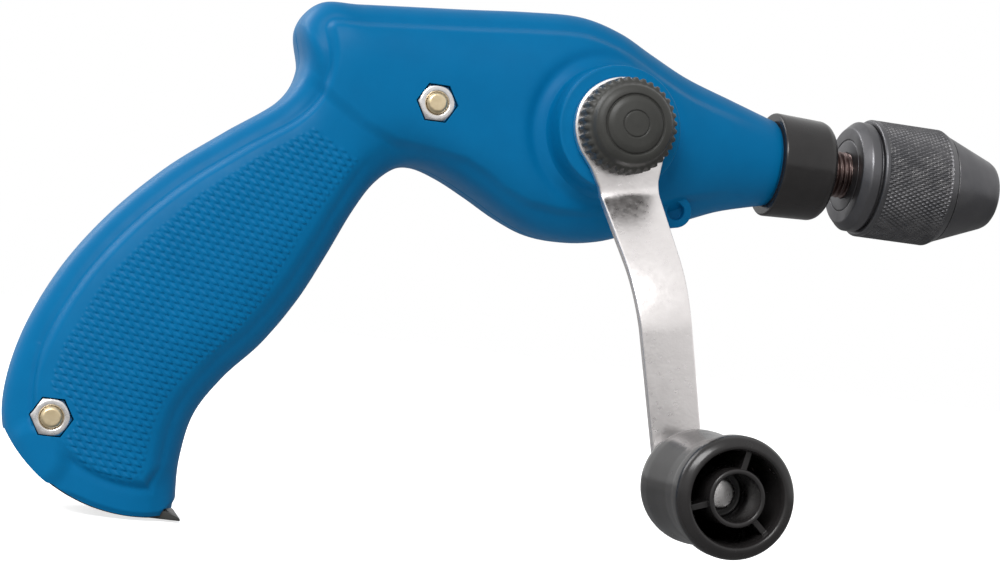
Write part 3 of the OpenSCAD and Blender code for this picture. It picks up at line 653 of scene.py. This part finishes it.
def spindle():
    """Tail, shoulder with its clip groove, and the threaded end."""
    profile = soften([[8.5, 0], [8.5, 3], [28, 3], [28, 5], [44.85, 5], [44.85, 4.4], [45.75, 4.4],
                      [45.75, 5], [59.2, 5], [59.2, THREAD_R], [80, THREAD_R], [80, 0]], 0.25)
    plain = profile[profile[:, 0] < 60]
    screwed = finer([[60, THREAD_R], [79.6, THREAD_R]], 0.1)
    profile = np.vstack([plain, screwed, profile[profile[:, 0] > 79.6]])
    piece = lathe("spindle_screwed", "X", profile, steps=96, shape=thread)
    return finish_piece(piece, "spindle", "spindle", "dark_steel")


def knurl(station, turn, radius):
    """Diamond knurl: two crossing sets of fine helical grooves."""
    along = station * math.tan(math.radians(KNURL_ANGLE)) / SLEEVE_R
    first = np.abs(np.mod((turn + along) * KNURL_COUNT / (2 * math.pi), 1) - 0.5) * 2
    second = np.abs(np.mod((turn - along) * KNURL_COUNT / (2 * math.pi), 1) - 0.5) * 2
    height = np.minimum(1, 1.5 * np.minimum(1 - first, 1 - second))
    start, end = KNURL_X
    fade = ramp(station, start, start + 0.3) * (1 - ramp(station, end - 0.3, end))
    return radius - KNURL_H * (1 - height) * fade * (radius > SLEEVE_R - 0.5)


def chuck_sleeve():
    start, end = SLEEVE_X
    front = CONE_X0 - 0.2
    profile = soften([[start, BODY_R + 0.05], [start, SLEEVE_R - 0.35], [start + 0.35, SLEEVE_R],
                      [end, SLEEVE_R], [front, 13.8], [front, BODY_R + 0.05]], 0.2, ring=True)
    profile = finer(profile, 0.2, ring=True)
    piece = lathe("chuck_sleeve_knurled", "X", profile, steps=KNURL_COUNT * 8, shape=knurl, ring=True)
    return finish_piece(piece, "chuck_sleeve", "sleeve", "black_oxide")


def chuck_rear_ring():
    profile = [[CHUCK_X0, 9.02], [CHUCK_X0, 12], [CHUCK_X0 + 1.7, 13.6], [CHUCK_X0 + 2, 13.8],
               [RING_X1 - 0.4, 13.8], [RING_X1, 13.4], [RING_X1, 9.02]]
    piece = lathe("chuck_ring", "X", soften(profile, 0.25, ring=True), steps=160, ring=True)
    return finish_piece(piece, "chuck_rear_ring", "spindle", "black_oxide")


def jaw_axis_r(x):
    """Distance of a jaw hole's axis from the spindle axis at X."""
    return JAW_FRONT[1] + (JAW_FRONT[0] - x) * math.tan(math.radians(JAW_ANGLE))


def chuck_body():
    """Body with its cone, its shank hole and the three slanted jaw holes."""
    profile = soften([[68.02, 0], [68.02, 9], [RING_X1, 9], [RING_X1, BODY_R], [85.6, BODY_R], [85.6, 9.2],
                      [91.4, 9.2], [91.4, BODY_R], [CONE_X0, BODY_R], [CONE_X0, 13.7], [NOSE_X - 1.6, 8.8],
                      [NOSE_X - 0.6, 8.2], [NOSE_X, 7.4], [NOSE_X, 0]], 0.3)
    piece = lathe("chuck_body_turned", "X", profile, steps=192)
    tools = [cylinder("X", 68, 81, 5.82), cylinder("X", 80, NOSE_X + 1, SHANK_ROOM_R)]
    for turn in (0, 120, 240):
        tool = cylinder("X", GRIP_X, GRIP_X + 36, JAW_R + 0.04, steps=48)
        tilt = Matrix.Rotation(math.radians(JAW_ANGLE), 4, "Y")
        tool.matrix_world = Matrix.Rotation(math.radians(turn), 4, "X") @ Matrix.Translation(
            Vector((JAW_BACK_X - GRIP_X, 0, jaw_axis_r(JAW_BACK_X))) * MM) @ tilt
        tools.append(tool)
    bpy.context.view_layer.update()
    combine(piece, tools)
    return finish_piece(piece, "chuck_body", "spindle", "black_oxide")


# ---------------------------------------------------------------- crank

ARM_Y = 30.7
ARM_T = 2.2
ARM_OUT_Y = 49.0
ARM_SLOPE = 40          # degrees between the arm's slanted run and its flat ends
ARM_BEND_R = 3.5
ARM_SWEEP_R = 24
ARM_HUB_R = 11.5
ARM_END_R = 6.6
ARM_ROUND = 0.45
CRANK_R = 79.5
CRANK_ANGLE = 12.3
HANDLE_C = (CRANK_R * math.sin(math.radians(CRANK_ANGLE)), -CRANK_R * math.cos(math.radians(CRANK_ANGLE)))
HANDLE_Y = 51.8
HANDLE_LEN = 36.0
KNOB_Y = 33.0
KNOB_R = 11.0
KNOB_RIDGES = 36
KNOB_RIDGE_H = 0.55
SHAFT_R = 4.02          # bore on the crank shaft
RIVET_R = 2.5
RIVET_END = 75.4        # where the rivet's head starts
RIB_ANGLES = (78, 198, 318)


def arm_path():
    """Middle line of the bent arm as [distance from the crank axis, distance from the parting plane]."""
    slope = math.radians(ARM_SLOPE)
    bend_r, sweep_r = ARM_BEND_R + ARM_T / 2, ARM_SWEEP_R + ARM_T / 2
    low, high = ARM_Y + ARM_T / 2, ARM_OUT_Y + ARM_T / 2
    bend = arc((14, low + bend_r), bend_r, -90, ARM_SLOPE - 90, 13)
    top = high - sweep_r * (1 - math.cos(slope))
    run = (top - bend[-1][1]) / math.tan(slope)
    centre = (bend[-1][0] + run + sweep_r * math.sin(slope), high - sweep_r)
    sweep = arc(centre, sweep_r, 90 + ARM_SLOPE, 90, 25)
    return np.vstack([[[-13, low]], bend, sweep, [[CRANK_R + 10, high]]])


def arm_half_width(s):
    """Half width of the arm at a distance from the crank axis."""
    table = np.array([[4, 10.9], [8.5, 8.6], [13, 7.1], [17, 6.8], [30, 6.3], [45, 5.9], [CRANK_R, 5.6]])
    width = np.interp(s, table[:, 0], table[:, 1])
    hub = np.sqrt(np.clip(ARM_HUB_R ** 2 - s ** 2, 0, None))
    end = np.sqrt(np.clip(ARM_END_R ** 2 - (s - CRANK_R) ** 2, 0, None))
    width = np.where(s < 4, hub, width)
    return np.where(s > CRANK_R, end, np.maximum(width, end))


def crank_arm():
    """Pressed strip, bent out from the hub to the handle, with rounded edges."""
    lead = ARM_HUB_R * -np.cos(np.linspace(0, math.pi / 2, 24))[:-1]
    tail = CRANK_R + ARM_END_R * np.sin(np.linspace(0, math.pi / 2, 18))
    s = np.concatenate([lead, np.linspace(0, CRANK_R, 220)[:-1], tail])
    w = arm_half_width(s)
    outline = np.concatenate([np.stack([s, w], -1), np.stack([s, -w], -1)[::-1][1:-1]])
    step = np.roll(outline, -1, axis=0) - np.roll(outline, 1, axis=0)
    outward = np.stack([-step[:, 1], step[:, 0]], -1)
    outward /= np.linalg.norm(outward, axis=1, keepdims=True)
    layers = []
    for side in (-1, 1):
        for k in np.linspace(0, 90, 5)[:: -side]:
            inset = ARM_ROUND * (1 - math.cos(math.radians(90 - k)))
            height = side * (ARM_T / 2 - ARM_ROUND * (1 - math.sin(math.radians(90 - k))))
            layers.append((inset, height))
    path = arm_path()
    dense = finer(path, 0.3)
    tangent = np.gradient(dense, axis=0)
    tangent /= np.linalg.norm(tangent, axis=1, keepdims=True)
    a = math.radians(CRANK_ANGLE)
    along, side_way = np.array([math.sin(a), -math.cos(a)]), np.array([math.cos(a), math.sin(a)])
    points = []
    for inset, height in layers:
        flat = outline - outward * inset
        base_y = np.interp(flat[:, 0], dense[:, 0], dense[:, 1])
        ts = np.interp(flat[:, 0], dense[:, 0], tangent[:, 0])
        ty = np.interp(flat[:, 0], dense[:, 0], tangent[:, 1])
        out = flat[:, 0] - ty * height
        y = base_y + ts * height
        xz = out[:, None] * along + flat[:, 1][:, None] * side_way
        points.append(np.stack([xz[:, 0], -y, xz[:, 1]], -1))
    count = len(outline)
    faces = grid_faces(len(layers), count, wrap_columns=True).tolist()
    for base in (0, (len(layers) - 1) * count):
        for k in range(len(s) - 1):
            ring = [base + k, base + k + 1, base + (count - k - 1) % count, base + (count - k) % count]
            faces.append(list(dict.fromkeys(ring)))
    piece = mesh_object("crank_arm_pressed", np.concatenate(points), faces, sharp=50)
    holes = [cylinder("Y", -40, -25, SHAFT_R), cylinder("Y", -60, -45, RIVET_R + 0.02, HANDLE_C)]
    combine(piece, holes, sharp=50)
    return finish_piece(piece, "crank_arm", "crank", "nickel")


def ridges(station, turn, radius):
    """Thumb ridges round the knob, rounded off at both ends."""
    wave = np.abs(np.mod(turn * KNOB_RIDGES / (2 * math.pi), 1) - 0.5) * 2
    notch = np.clip(1 - (wave / 0.62) ** 2, 0, 1) ** 0.8
    fade = ramp(-station, KNOB_Y - 0.2, KNOB_Y + 0.5) * (1 - ramp(-station, KNOB_Y + 5.3, KNOB_Y + 6.6))
    return radius - KNOB_RIDGE_H * notch * fade * (radius > KNOB_R - 1.6)


def crank_knob():
    k = KNOB_Y
    profile = [[-k, 0], [-k, KNOB_R - 0.4], [-k - 0.4, KNOB_R], [-k - 5.2, KNOB_R], [-k - 6, KNOB_R - 0.7],
               [-k - 6.4, 9.5], [-k - 8.2, 8.8], [-k - 8.8, 7.8], [-k - 8.95, 6.95], [-k - 8.55, 6.8],
               [-k - 8.55, 6.6], [-k - 8.98, 6.4], [-k - 9.5, 5.4], [-k - 9.82, 3.15], [-k - 9.6, 3.05],
               [-k - 9.6, 2.9], [-k - 9.85, 2.8], [-k - 10, 0]]
    profile = finer(soften(profile, 0.45), 0.35)
    piece = lathe("crank_knob_ridged", "Y", profile, steps=KNOB_RIDGES * 14, shape=ridges)
    combine(piece, [cylinder("Y", -k - 7.3, -k + 1, SHAFT_R)])
    return finish_piece(piece, "crank_knob", "crank", "black_plastic")


def crank_handle():
    """Hollow barrel with an inner tube on the rivet and three thin ribs between them."""
    y0, y1 = HANDLE_Y, HANDLE_Y + HANDLE_LEN
    outside = [[-y0, 8.6], [-y0 - 1, 9.6], [-y0 - 4, 10.6], [-y0 - 4.4, 10.2], [-y0 - 4.9, 10.2],
               [-y0 - 5.3, 11], [-y0 - 8, 12], [-y0 - 10, 12.3], [-y0 - 13, 12.25], [-y0 - 18, 11.75],
               [-y0 - 23, 11.35], [-y0 - 27, 11.3], [-y1 + 6.6, 11.5], [-y1 + 6, 11.2], [-y1 + 5.5, 11.2],
               [-y1 + 5.1, 12.3], [-y1 + 4.6, 12.7], [-y1 + 2, 12.7], [-y1 + 0.8, 12.2], [-y1, 10.9],
               [-y1, 10.1], [-y1 + 1, 9.7]]
    hollow = [[-y0 - 22, 9.4], [-y0 - 10, 9.4], [-y0 - 3, 7.8], [-y0 - 3, 6.2], [-y1 + 0.4, 6],
              [-y1 + 0.4, 4.95], [-RIVET_END + 0.1, 4.95], [-RIVET_END + 0.1, 2.54], [-y0, 2.54]]
    profile = soften(outside + hollow, 0.5, ring=True)
    piece = lathe("crank_handle_barrel", "Y", profile, HANDLE_C, 160, ring=True)
    ribs = []
    for turn in RIB_ANGLES:
        out = np.array([math.cos(math.radians(turn)), math.sin(math.radians(turn))])
        side = np.array([-out[1], out[0]]) * 0.6
        outline = [HANDLE_C + out * r + side * k for r, k in ((5.4, -1), (10, -1), (10, 1), (5.4, 1))]
        ribs.append(prism("tool", outline, -y1 + 2.2, -y0 - 1.5))
    combine(piece, ribs, "UNION")
    return finish_piece(piece, "crank_handle", "handle", "gloss_black")


def handle_rivet():
    """Its back head lies behind the arm, and its front head inside the handle's tube."""
    back = -ARM_OUT_Y
    profile = [[back + 1.2, 0], [back + 1.2, 2.6], [back + 0.9, 3.4], [back, 3.6], [back, RIVET_R],
               [-RIVET_END, RIVET_R], [-RIVET_END, 3.5], [-RIVET_END - 1, 3.4], [-RIVET_END - 1.45, 2.9],
               [-RIVET_END - 1.6, 0]]
    piece = lathe("handle_rivet_domed", "Y", soften(profile, 0.35), HANDLE_C, 96)
    return finish_piece(piece, "handle_rivet", "crank", "zinc")


# ---------------------------------------------------------------- fasteners and door

def hex_shape(flats, y_limit=None):
    """Turns a lathe's outside into a hexagon beyond a station of Y, keeping what already lies inside it."""
    radius_at = hexagon(flats)

    def shape(station, turn, radius):
        trimmed = np.minimum(radius, radius_at(turn))
        return trimmed if y_limit is None else np.where(station > y_limit, trimmed, radius)
    return shape


def nut(name, centre, nut_y):
    """Hexagon nut with a turned chamfer on its outer face."""
    back, face = -nut_y + NUT_H - 0.05, -nut_y
    profile = [[back, 2.52], [back, 5], [face + 0.75, 5], [face + 0.05, 3.95], [face, 3.6], [face, 2.9],
               [face + 0.35, 2.52]]
    profile = finer(soften(profile, 0.12, ring=True), 0.25, ring=True)
    piece = lathe(name, "Y", profile, centre, 144, hex_shape(NUT_FLATS), ring=True, sharp=30)
    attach(piece, "housing")
    return paint(piece, "zinc")


def bolt(name, centre, nut_y):
    """Through bolt: its point shows in the nut, and its hexagon head sits in the other shell."""
    tip, under, top = -nut_y - 0.6, nut_y - NUT_H + 0.05, nut_y - 0.3
    profile = [[tip, 0], [tip, 1.9], [tip + 0.55, 2.47], [under, 2.47], [under, 5], [top - 0.6, 5],
               [top, 3.9], [top, 0]]
    profile = finer(soften(profile, 0.2), 0.4)
    piece = lathe(name, "Y", profile, centre, 144, hex_shape(NUT_FLATS, under - 0.3), sharp=30)
    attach(piece, "housing")
    return paint(piece, "yellow_zinc")


def fasteners():
    upper = nut("upper_nut", UPPER_BOLT, UPPER_NUT_Y)
    nut("lower_nut", LOWER_BOLT, LOWER_NUT_Y)
    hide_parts("housing_nuts")
    upper = bolt("upper_bolt", UPPER_BOLT, UPPER_NUT_Y)
    bolt("lower_bolt", LOWER_BOLT, LOWER_NUT_Y)
    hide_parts("housing_bolts")


def storage_door():
    """Curved flap with a knuckle at the back and a thumb lip in front."""
    inner = DOOR_R - DOOR_T
    hinge = hinge_centre()
    knuckle = hinge + arc((0, 0), KNUCKLE_R, HINGE_ANGLE + 100, HINGE_ANGLE + 360, 24)
    outline = np.vstack([
        knuckle, arc(FOOT_C, DOOR_R, HINGE_ANGLE + 1.5, LIP_ANGLE - 1, 60), LIP_TIP,
        arc(FOOT_C, inner, LIP_ANGLE - 1, HINGE_ANGLE + 5.5, 60)])
    piece = prism("storage_door_flap", outline, -DOOR_HALF, DOOR_HALF)
    bevel(piece, 0.22, 3, 40)
    return finish_piece(piece, "storage_door", "door", "black_plastic")


def front_screw():
    """Screw with a domed head and a cross recess."""
    x, z = FRONT_BOSS
    profile = [[-6.5, 0], [-6.5, 1.2], [-6, 1.55], [10.4, 1.55], [10.4, 3.2], [11.5, 3], [12.1, 2.1],
               [12.2, 0]]
    piece = lathe("front_screw_cross", "Y", soften(profile, 0.25), FRONT_BOSS, 64)
    slots = [prism("tool", [[x - a, z - b], [x + a, z - b], [x + a, z + b], [x - a, z + b]], 11, 14)
             for a, b in ((1.5, 0.3), (0.3, 1.5))]
    combine(piece, slots)
    return finish_piece(piece, "front_screw", "housing", "zinc")


# ---------------------------------------------------------------- materials

def node(tree, kind, links=None, **settings):
    """Adds a shader node. settings are properties or inputs, and links are outputs joined to its inputs."""
    made = tree.nodes.new(kind)
    for key, value in settings.items():
        if hasattr(made, key):
            setattr(made, key, value)
        else:
            made.inputs[key.replace("_", " ")].default_value = value
    for key, output in (links or {}).items():
        tree.links.new(output, made.inputs[key])
    return made


def noise(tree, coordinates, scale, detail=3, stretch=(1, 1, 1)):
    mapping = node(tree, "ShaderNodeMapping", {"Vector": coordinates})
    mapping.inputs["Scale"].default_value = stretch
    made = node(tree, "ShaderNodeTexNoise", {"Vector": mapping.outputs[0]}, Scale=scale, Detail=detail)
    return made.outputs["Fac"]


def ramp_value(tree, factor, low, high, start=0.0, end=1.0):
    """Maps a factor from [start, end] to [low, high]."""
    made = node(tree, "ShaderNodeMapRange", {"Value": factor})
    for key, value in (("From Min", start), ("From Max", end), ("To Min", low), ("To Max", high)):
        made.inputs[key].default_value = value
    return made.outputs[0]


def mix_colour(tree, factor, first, second):
    made = node(tree, "ShaderNodeMix", data_type="RGBA")
    for socket, value in ((made.inputs[0], factor), (made.inputs[6], first), (made.inputs[7], second)):
        if isinstance(value, bpy.types.NodeSocket):
            tree.links.new(value, socket)
        else:
            socket.default_value = value if isinstance(value, float) else (*value, 1)
    return made.outputs[2]


EDGE_R = 0.0003         # metres, as every length in a shader
BUMP_HEIGHT = 0.0002


def finish(name, colour, tint, rough, metallic=0.0, grain=(900, 0.02), blotch=120, stretch=(1, 1, 1),
           edge_wear_and_highlight=None, specular=0.5):
    """A finish whose colour, roughness and surface vary, with an optional lighter colour on its sharp edges,
    in patches: wear on the metal and black parts, and a painted edge highlight on the blue shell.
    grain is the scale and strength of the fine bumps, and blotch the scale of the colour's patches."""
    material = bpy.data.materials.new(name)
    material.use_nodes = True
    tree = material.node_tree
    shader = tree.nodes["Principled BSDF"]
    where = node(tree, "ShaderNodeTexCoord").outputs["Object"]
    broad = noise(tree, where, blotch, 4)
    fine = noise(tree, where, grain[0], 3, stretch)
    base = mix_colour(tree, ramp_value(tree, broad, 0, 1, 0.3, 0.7), colour, tint)
    roughness = ramp_value(tree, noise(tree, where, blotch * 2.3, 5), rough[0], rough[1], 0.3, 0.7)
    normal = node(tree, "ShaderNodeBevel", Radius=EDGE_R, samples=4).outputs[0]
    # Lighter colour on the sharp edges, in patches: wear, and on the blue shell a painted edge highlight.
    if edge_wear_and_highlight:
        shape = tree.nodes.new("ShaderNodeNewGeometry")
        dot = node(tree, "ShaderNodeVectorMath", operation="DOT_PRODUCT")
        tree.links.new(normal, dot.inputs[0])
        tree.links.new(shape.outputs["Normal"], dot.inputs[1])
        edges = ramp_value(tree, dot.outputs["Value"], 1, 0, 0.90, 0.995)
        patchy = ramp_value(tree, noise(tree, where, 420, 4), 0, 1, 0.42, 0.62)
        amount = node(tree, "ShaderNodeMath", operation="MULTIPLY")
        tree.links.new(edges, amount.inputs[0])
        tree.links.new(patchy, amount.inputs[1])
        scaled = node(tree, "ShaderNodeMath", operation="MULTIPLY")
        tree.links.new(amount.outputs[0], scaled.inputs[0])
        scaled.inputs[1].default_value = edge_wear_and_highlight[1]
        base = mix_colour(tree, scaled.outputs[0], base, edge_wear_and_highlight[0])
    links = {"Height": fine, "Normal": normal}
    bump = node(tree, "ShaderNodeBump", links, Strength=grain[1], Distance=BUMP_HEIGHT)
    for key, value in (("Base Color", base), ("Roughness", roughness), ("Normal", bump.outputs[0])):
        tree.links.new(value, shader.inputs[key])
    shader.inputs["Metallic"].default_value = metallic
    shader.inputs["Specular IOR Level"].default_value = specular
    return material


FINISHES = {
    # The blue shell's lighter edge colour is a painted edge highlight.
    "blue_shell": dict(colour=(0.0003, 0.14, 0.335), tint=(0.0003, 0.152, 0.36), rough=(0.38, 0.46),
                       grain=(2600, 0.03), edge_wear_and_highlight=((0.02, 0.24, 0.48), 0.2), specular=0.09),
    "black_plastic": dict(colour=(0.034, 0.034, 0.031), tint=(0.047, 0.047, 0.043), rough=(0.36, 0.5),
                          grain=(2200, 0.08), edge_wear_and_highlight=((0.1, 0.1, 0.1), 0.5), specular=0.35),
    "gloss_black": dict(colour=(0.016, 0.015, 0.015), tint=(0.024, 0.022, 0.022), rough=(0.18, 0.28),
                        grain=(1500, 0.04), edge_wear_and_highlight=((0.08, 0.075, 0.08), 0.4), specular=0.42),
    "black_oxide": dict(colour=(0.11, 0.11, 0.117), tint=(0.15, 0.148, 0.155), rough=(0.3, 0.44),
                        metallic=0.9, grain=(1800, 0.1), edge_wear_and_highlight=((0.42, 0.41, 0.41), 0.7)),
    "nickel": dict(colour=(0.96, 0.92, 0.91), tint=(0.9, 0.86, 0.85), rough=(0.26, 0.36), metallic=1.0,
                   grain=(1500, 0.1), blotch=300),
    "zinc": dict(colour=(0.86, 0.84, 0.83), tint=(0.74, 0.72, 0.71), rough=(0.22, 0.36), metallic=1.0,
                 grain=(1600, 0.1), blotch=400),
    "yellow_zinc": dict(colour=(0.84, 0.7, 0.47), tint=(0.72, 0.58, 0.36), rough=(0.28, 0.42), metallic=1.0,
                        grain=(1600, 0.14), blotch=500),
    "steel": dict(colour=(0.5, 0.48, 0.46), tint=(0.4, 0.38, 0.37), rough=(0.22, 0.38), metallic=1.0,
                  grain=(1400, 0.12), stretch=(1, 0.1, 1), edge_wear_and_highlight=((0.7, 0.69, 0.67), 0.4)),
    "dark_steel": dict(colour=(0.13, 0.09, 0.085), tint=(0.22, 0.16, 0.15), rough=(0.24, 0.4), metallic=1.0,
                       grain=(1400, 0.14), edge_wear_and_highlight=((0.55, 0.45, 0.42), 0.6)),
    "bronze": dict(colour=(0.5, 0.29, 0.12), tint=(0.42, 0.23, 0.09), rough=(0.32, 0.46), metallic=1.0,
                   grain=(1800, 0.12)),
}
MATERIALS = {}


def material_for(slot):
    if slot not in MATERIALS:
        MATERIALS[slot] = finish(slot, **FINISHES[slot])
    return MATERIALS[slot]


def paint(piece, slot):
    piece.data.materials.clear()
    piece.data.materials.append(material_for(slot))
    return piece


def finish_piece(piece, cad_node, body, slot):
    """Puts a new piece in the place of a CAD node."""
    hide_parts(cad_node)
    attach(piece, body)
    return paint(piece, slot)


def repaint_cad_nodes():
    """The CAD pieces that stay take the same finishes, by the material slot that the record names."""
    slots = {row["node"]: row["material_slot"] for row in frame["record"]["subparts"]}
    for name, piece in frame["nodes"].items():
        if piece.hide_render:
            continue
        for entry in piece.material_slots:
            entry.material = material_for(slots[name])


# ---------------------------------------------------------------- stage

WORLD_LIGHT = (0.4, 0.85)      # strength for diffuse and for glossy rays
FLOOR_GLOW = 0.75
FLOOR_SIZE = 12.0               # metres
FLOOR_DIFFUSE = (0.6, 0.6, 0.6)     # the floor's colour in the light it throws back
FLOOR_GLOSSY = (0.25, 0.25, 0.25)   # and in what shiny pieces mirror


CAMERA_AT = (-127.2, -469.2, -52.7)
CAMERA_FORWARD = (0.229, 0.9729, 0.0306)
CAMERA_UP = (-0.1221, -0.0025, 0.9925)
CAMERA_LENS = 72
KEY_LIGHT = dict(size=(0.7, 0.45), power=11)    # metres and watts
RIM_LIGHT = dict(size=(0.5, 0.5), power=4)


def area_light(name, place_at, target, size, power):
    data = bpy.data.lights.new(name, "AREA")
    data.shape = "RECTANGLE"
    data.size, data.size_y = size
    data.energy = power
    light = bpy.data.objects.new(name, data)
    light.location = place_at
    light.rotation_euler = (Vector(target) - Vector(place_at)).to_track_quat("-Z", "Y").to_euler()
    bpy.context.scene.collection.objects.link(light)


def studio_world():
    """White surroundings: bright to the camera, softer as a light on the drill."""
    world = bpy.data.worlds.new("studio")
    world.use_nodes = True
    bpy.context.scene.world = world
    tree = world.node_tree
    background = tree.nodes["Background"]
    background.inputs["Color"].default_value = (1, 1, 1, 1)
    path = node(tree, "ShaderNodeLightPath")
    strength = ramp_value(tree, path.outputs["Is Glossy Ray"], *WORLD_LIGHT)
    to_camera = ramp_value(tree, path.outputs["Is Camera Ray"], 0.0, 1.0)
    brightest = node(tree, "ShaderNodeMath", operation="MAXIMUM")
    tree.links.new(strength, brightest.inputs[0])
    tree.links.new(to_camera, brightest.inputs[1])
    tree.links.new(brightest.outputs[0], background.inputs["Strength"])


def paper():
    """Pale floor that the camera sees as white where no shadow falls, and that throws little light back."""
    pale, paler = (0.86, 0.86, 0.86), (0.88, 0.88, 0.88)
    material = finish("floor_paper", pale, paler, (0.7, 0.8), grain=(200, 0.01))
    tree = material.node_tree
    shader = tree.nodes["Principled BSDF"]
    seen = node(tree, "ShaderNodeLightPath").outputs["Is Camera Ray"]
    colour = shader.inputs["Base Color"].links[0].from_socket
    glossy = node(tree, "ShaderNodeLightPath").outputs["Is Glossy Ray"]
    unseen = mix_colour(tree, glossy, FLOOR_DIFFUSE, FLOOR_GLOSSY)
    tree.links.new(mix_colour(tree, seen, unseen, colour), shader.inputs["Base Color"])
    shader.inputs["Emission Color"].default_value = (1, 1, 1, 1)
    tree.links.new(ramp_value(tree, seen, 0.0, FLOOR_GLOW), shader.inputs["Emission Strength"])
    return material


def stage():
    """Floor just below the drill, surroundings, a key light high on the crank's side and a rim light."""
    lowest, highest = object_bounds()
    ground = lowest.z - 0.0005
    size = FLOOR_SIZE
    corners = [(-size, -size, ground), (size, -size, ground), (size, size, ground), (-size, size, ground)]
    floor = bpy.data.meshes.new("floor")
    floor.from_pydata(corners, [], [(0, 1, 2, 3)])
    floor_piece = bpy.data.objects.new("floor", floor)
    bpy.context.scene.collection.objects.link(floor_piece)
    floor_piece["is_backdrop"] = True
    floor.materials.append(paper())
    studio_world()
    middle = (lowest + highest) / 2
    area_light("key", middle + Vector((-0.55, -0.85, 0.7)), middle, **KEY_LIGHT)
    area_light("rim", middle + Vector((-0.6, 0.5, 0.5)), middle, **RIM_LIGHT)


def camera():
    """Camera on the crank's side, a little behind and below the spindle, looking slightly forward and up."""
    data = bpy.data.cameras.new("camera")
    data.lens = CAMERA_LENS
    data.sensor_width = 36
    view = bpy.data.objects.new("camera", data)
    forward = Vector(CAMERA_FORWARD).normalized()
    up = Vector(CAMERA_UP)
    right = forward.cross(up).normalized()
    up = right.cross(forward)
    place_at = (Vector(CAMERA_AT) - Vector((GRIP_X, 0, 0))) * MM
    view.matrix_world = Matrix((
        (right.x, up.x, -forward.x, place_at.x), (right.y, up.y, -forward.y, place_at.y),
        (right.z, up.z, -forward.z, place_at.z), (0, 0, 0, 1)))
    data.clip_start = 0.01
    bpy.context.scene.collection.objects.link(view)
    bpy.context.scene.camera = view


housing_half("housing_left", True)
housing_half("housing_right", False)
nose_collar()
spindle()
chuck_sleeve()
chuck_rear_ring()
chuck_body()
crank_arm()
crank_knob()
crank_handle()
handle_rivet()
fasteners()
storage_door()
front_screw()
repaint_cad_nodes()
stage()
camera()
bpy.context.scene.view_settings.view_transform = "Standard"
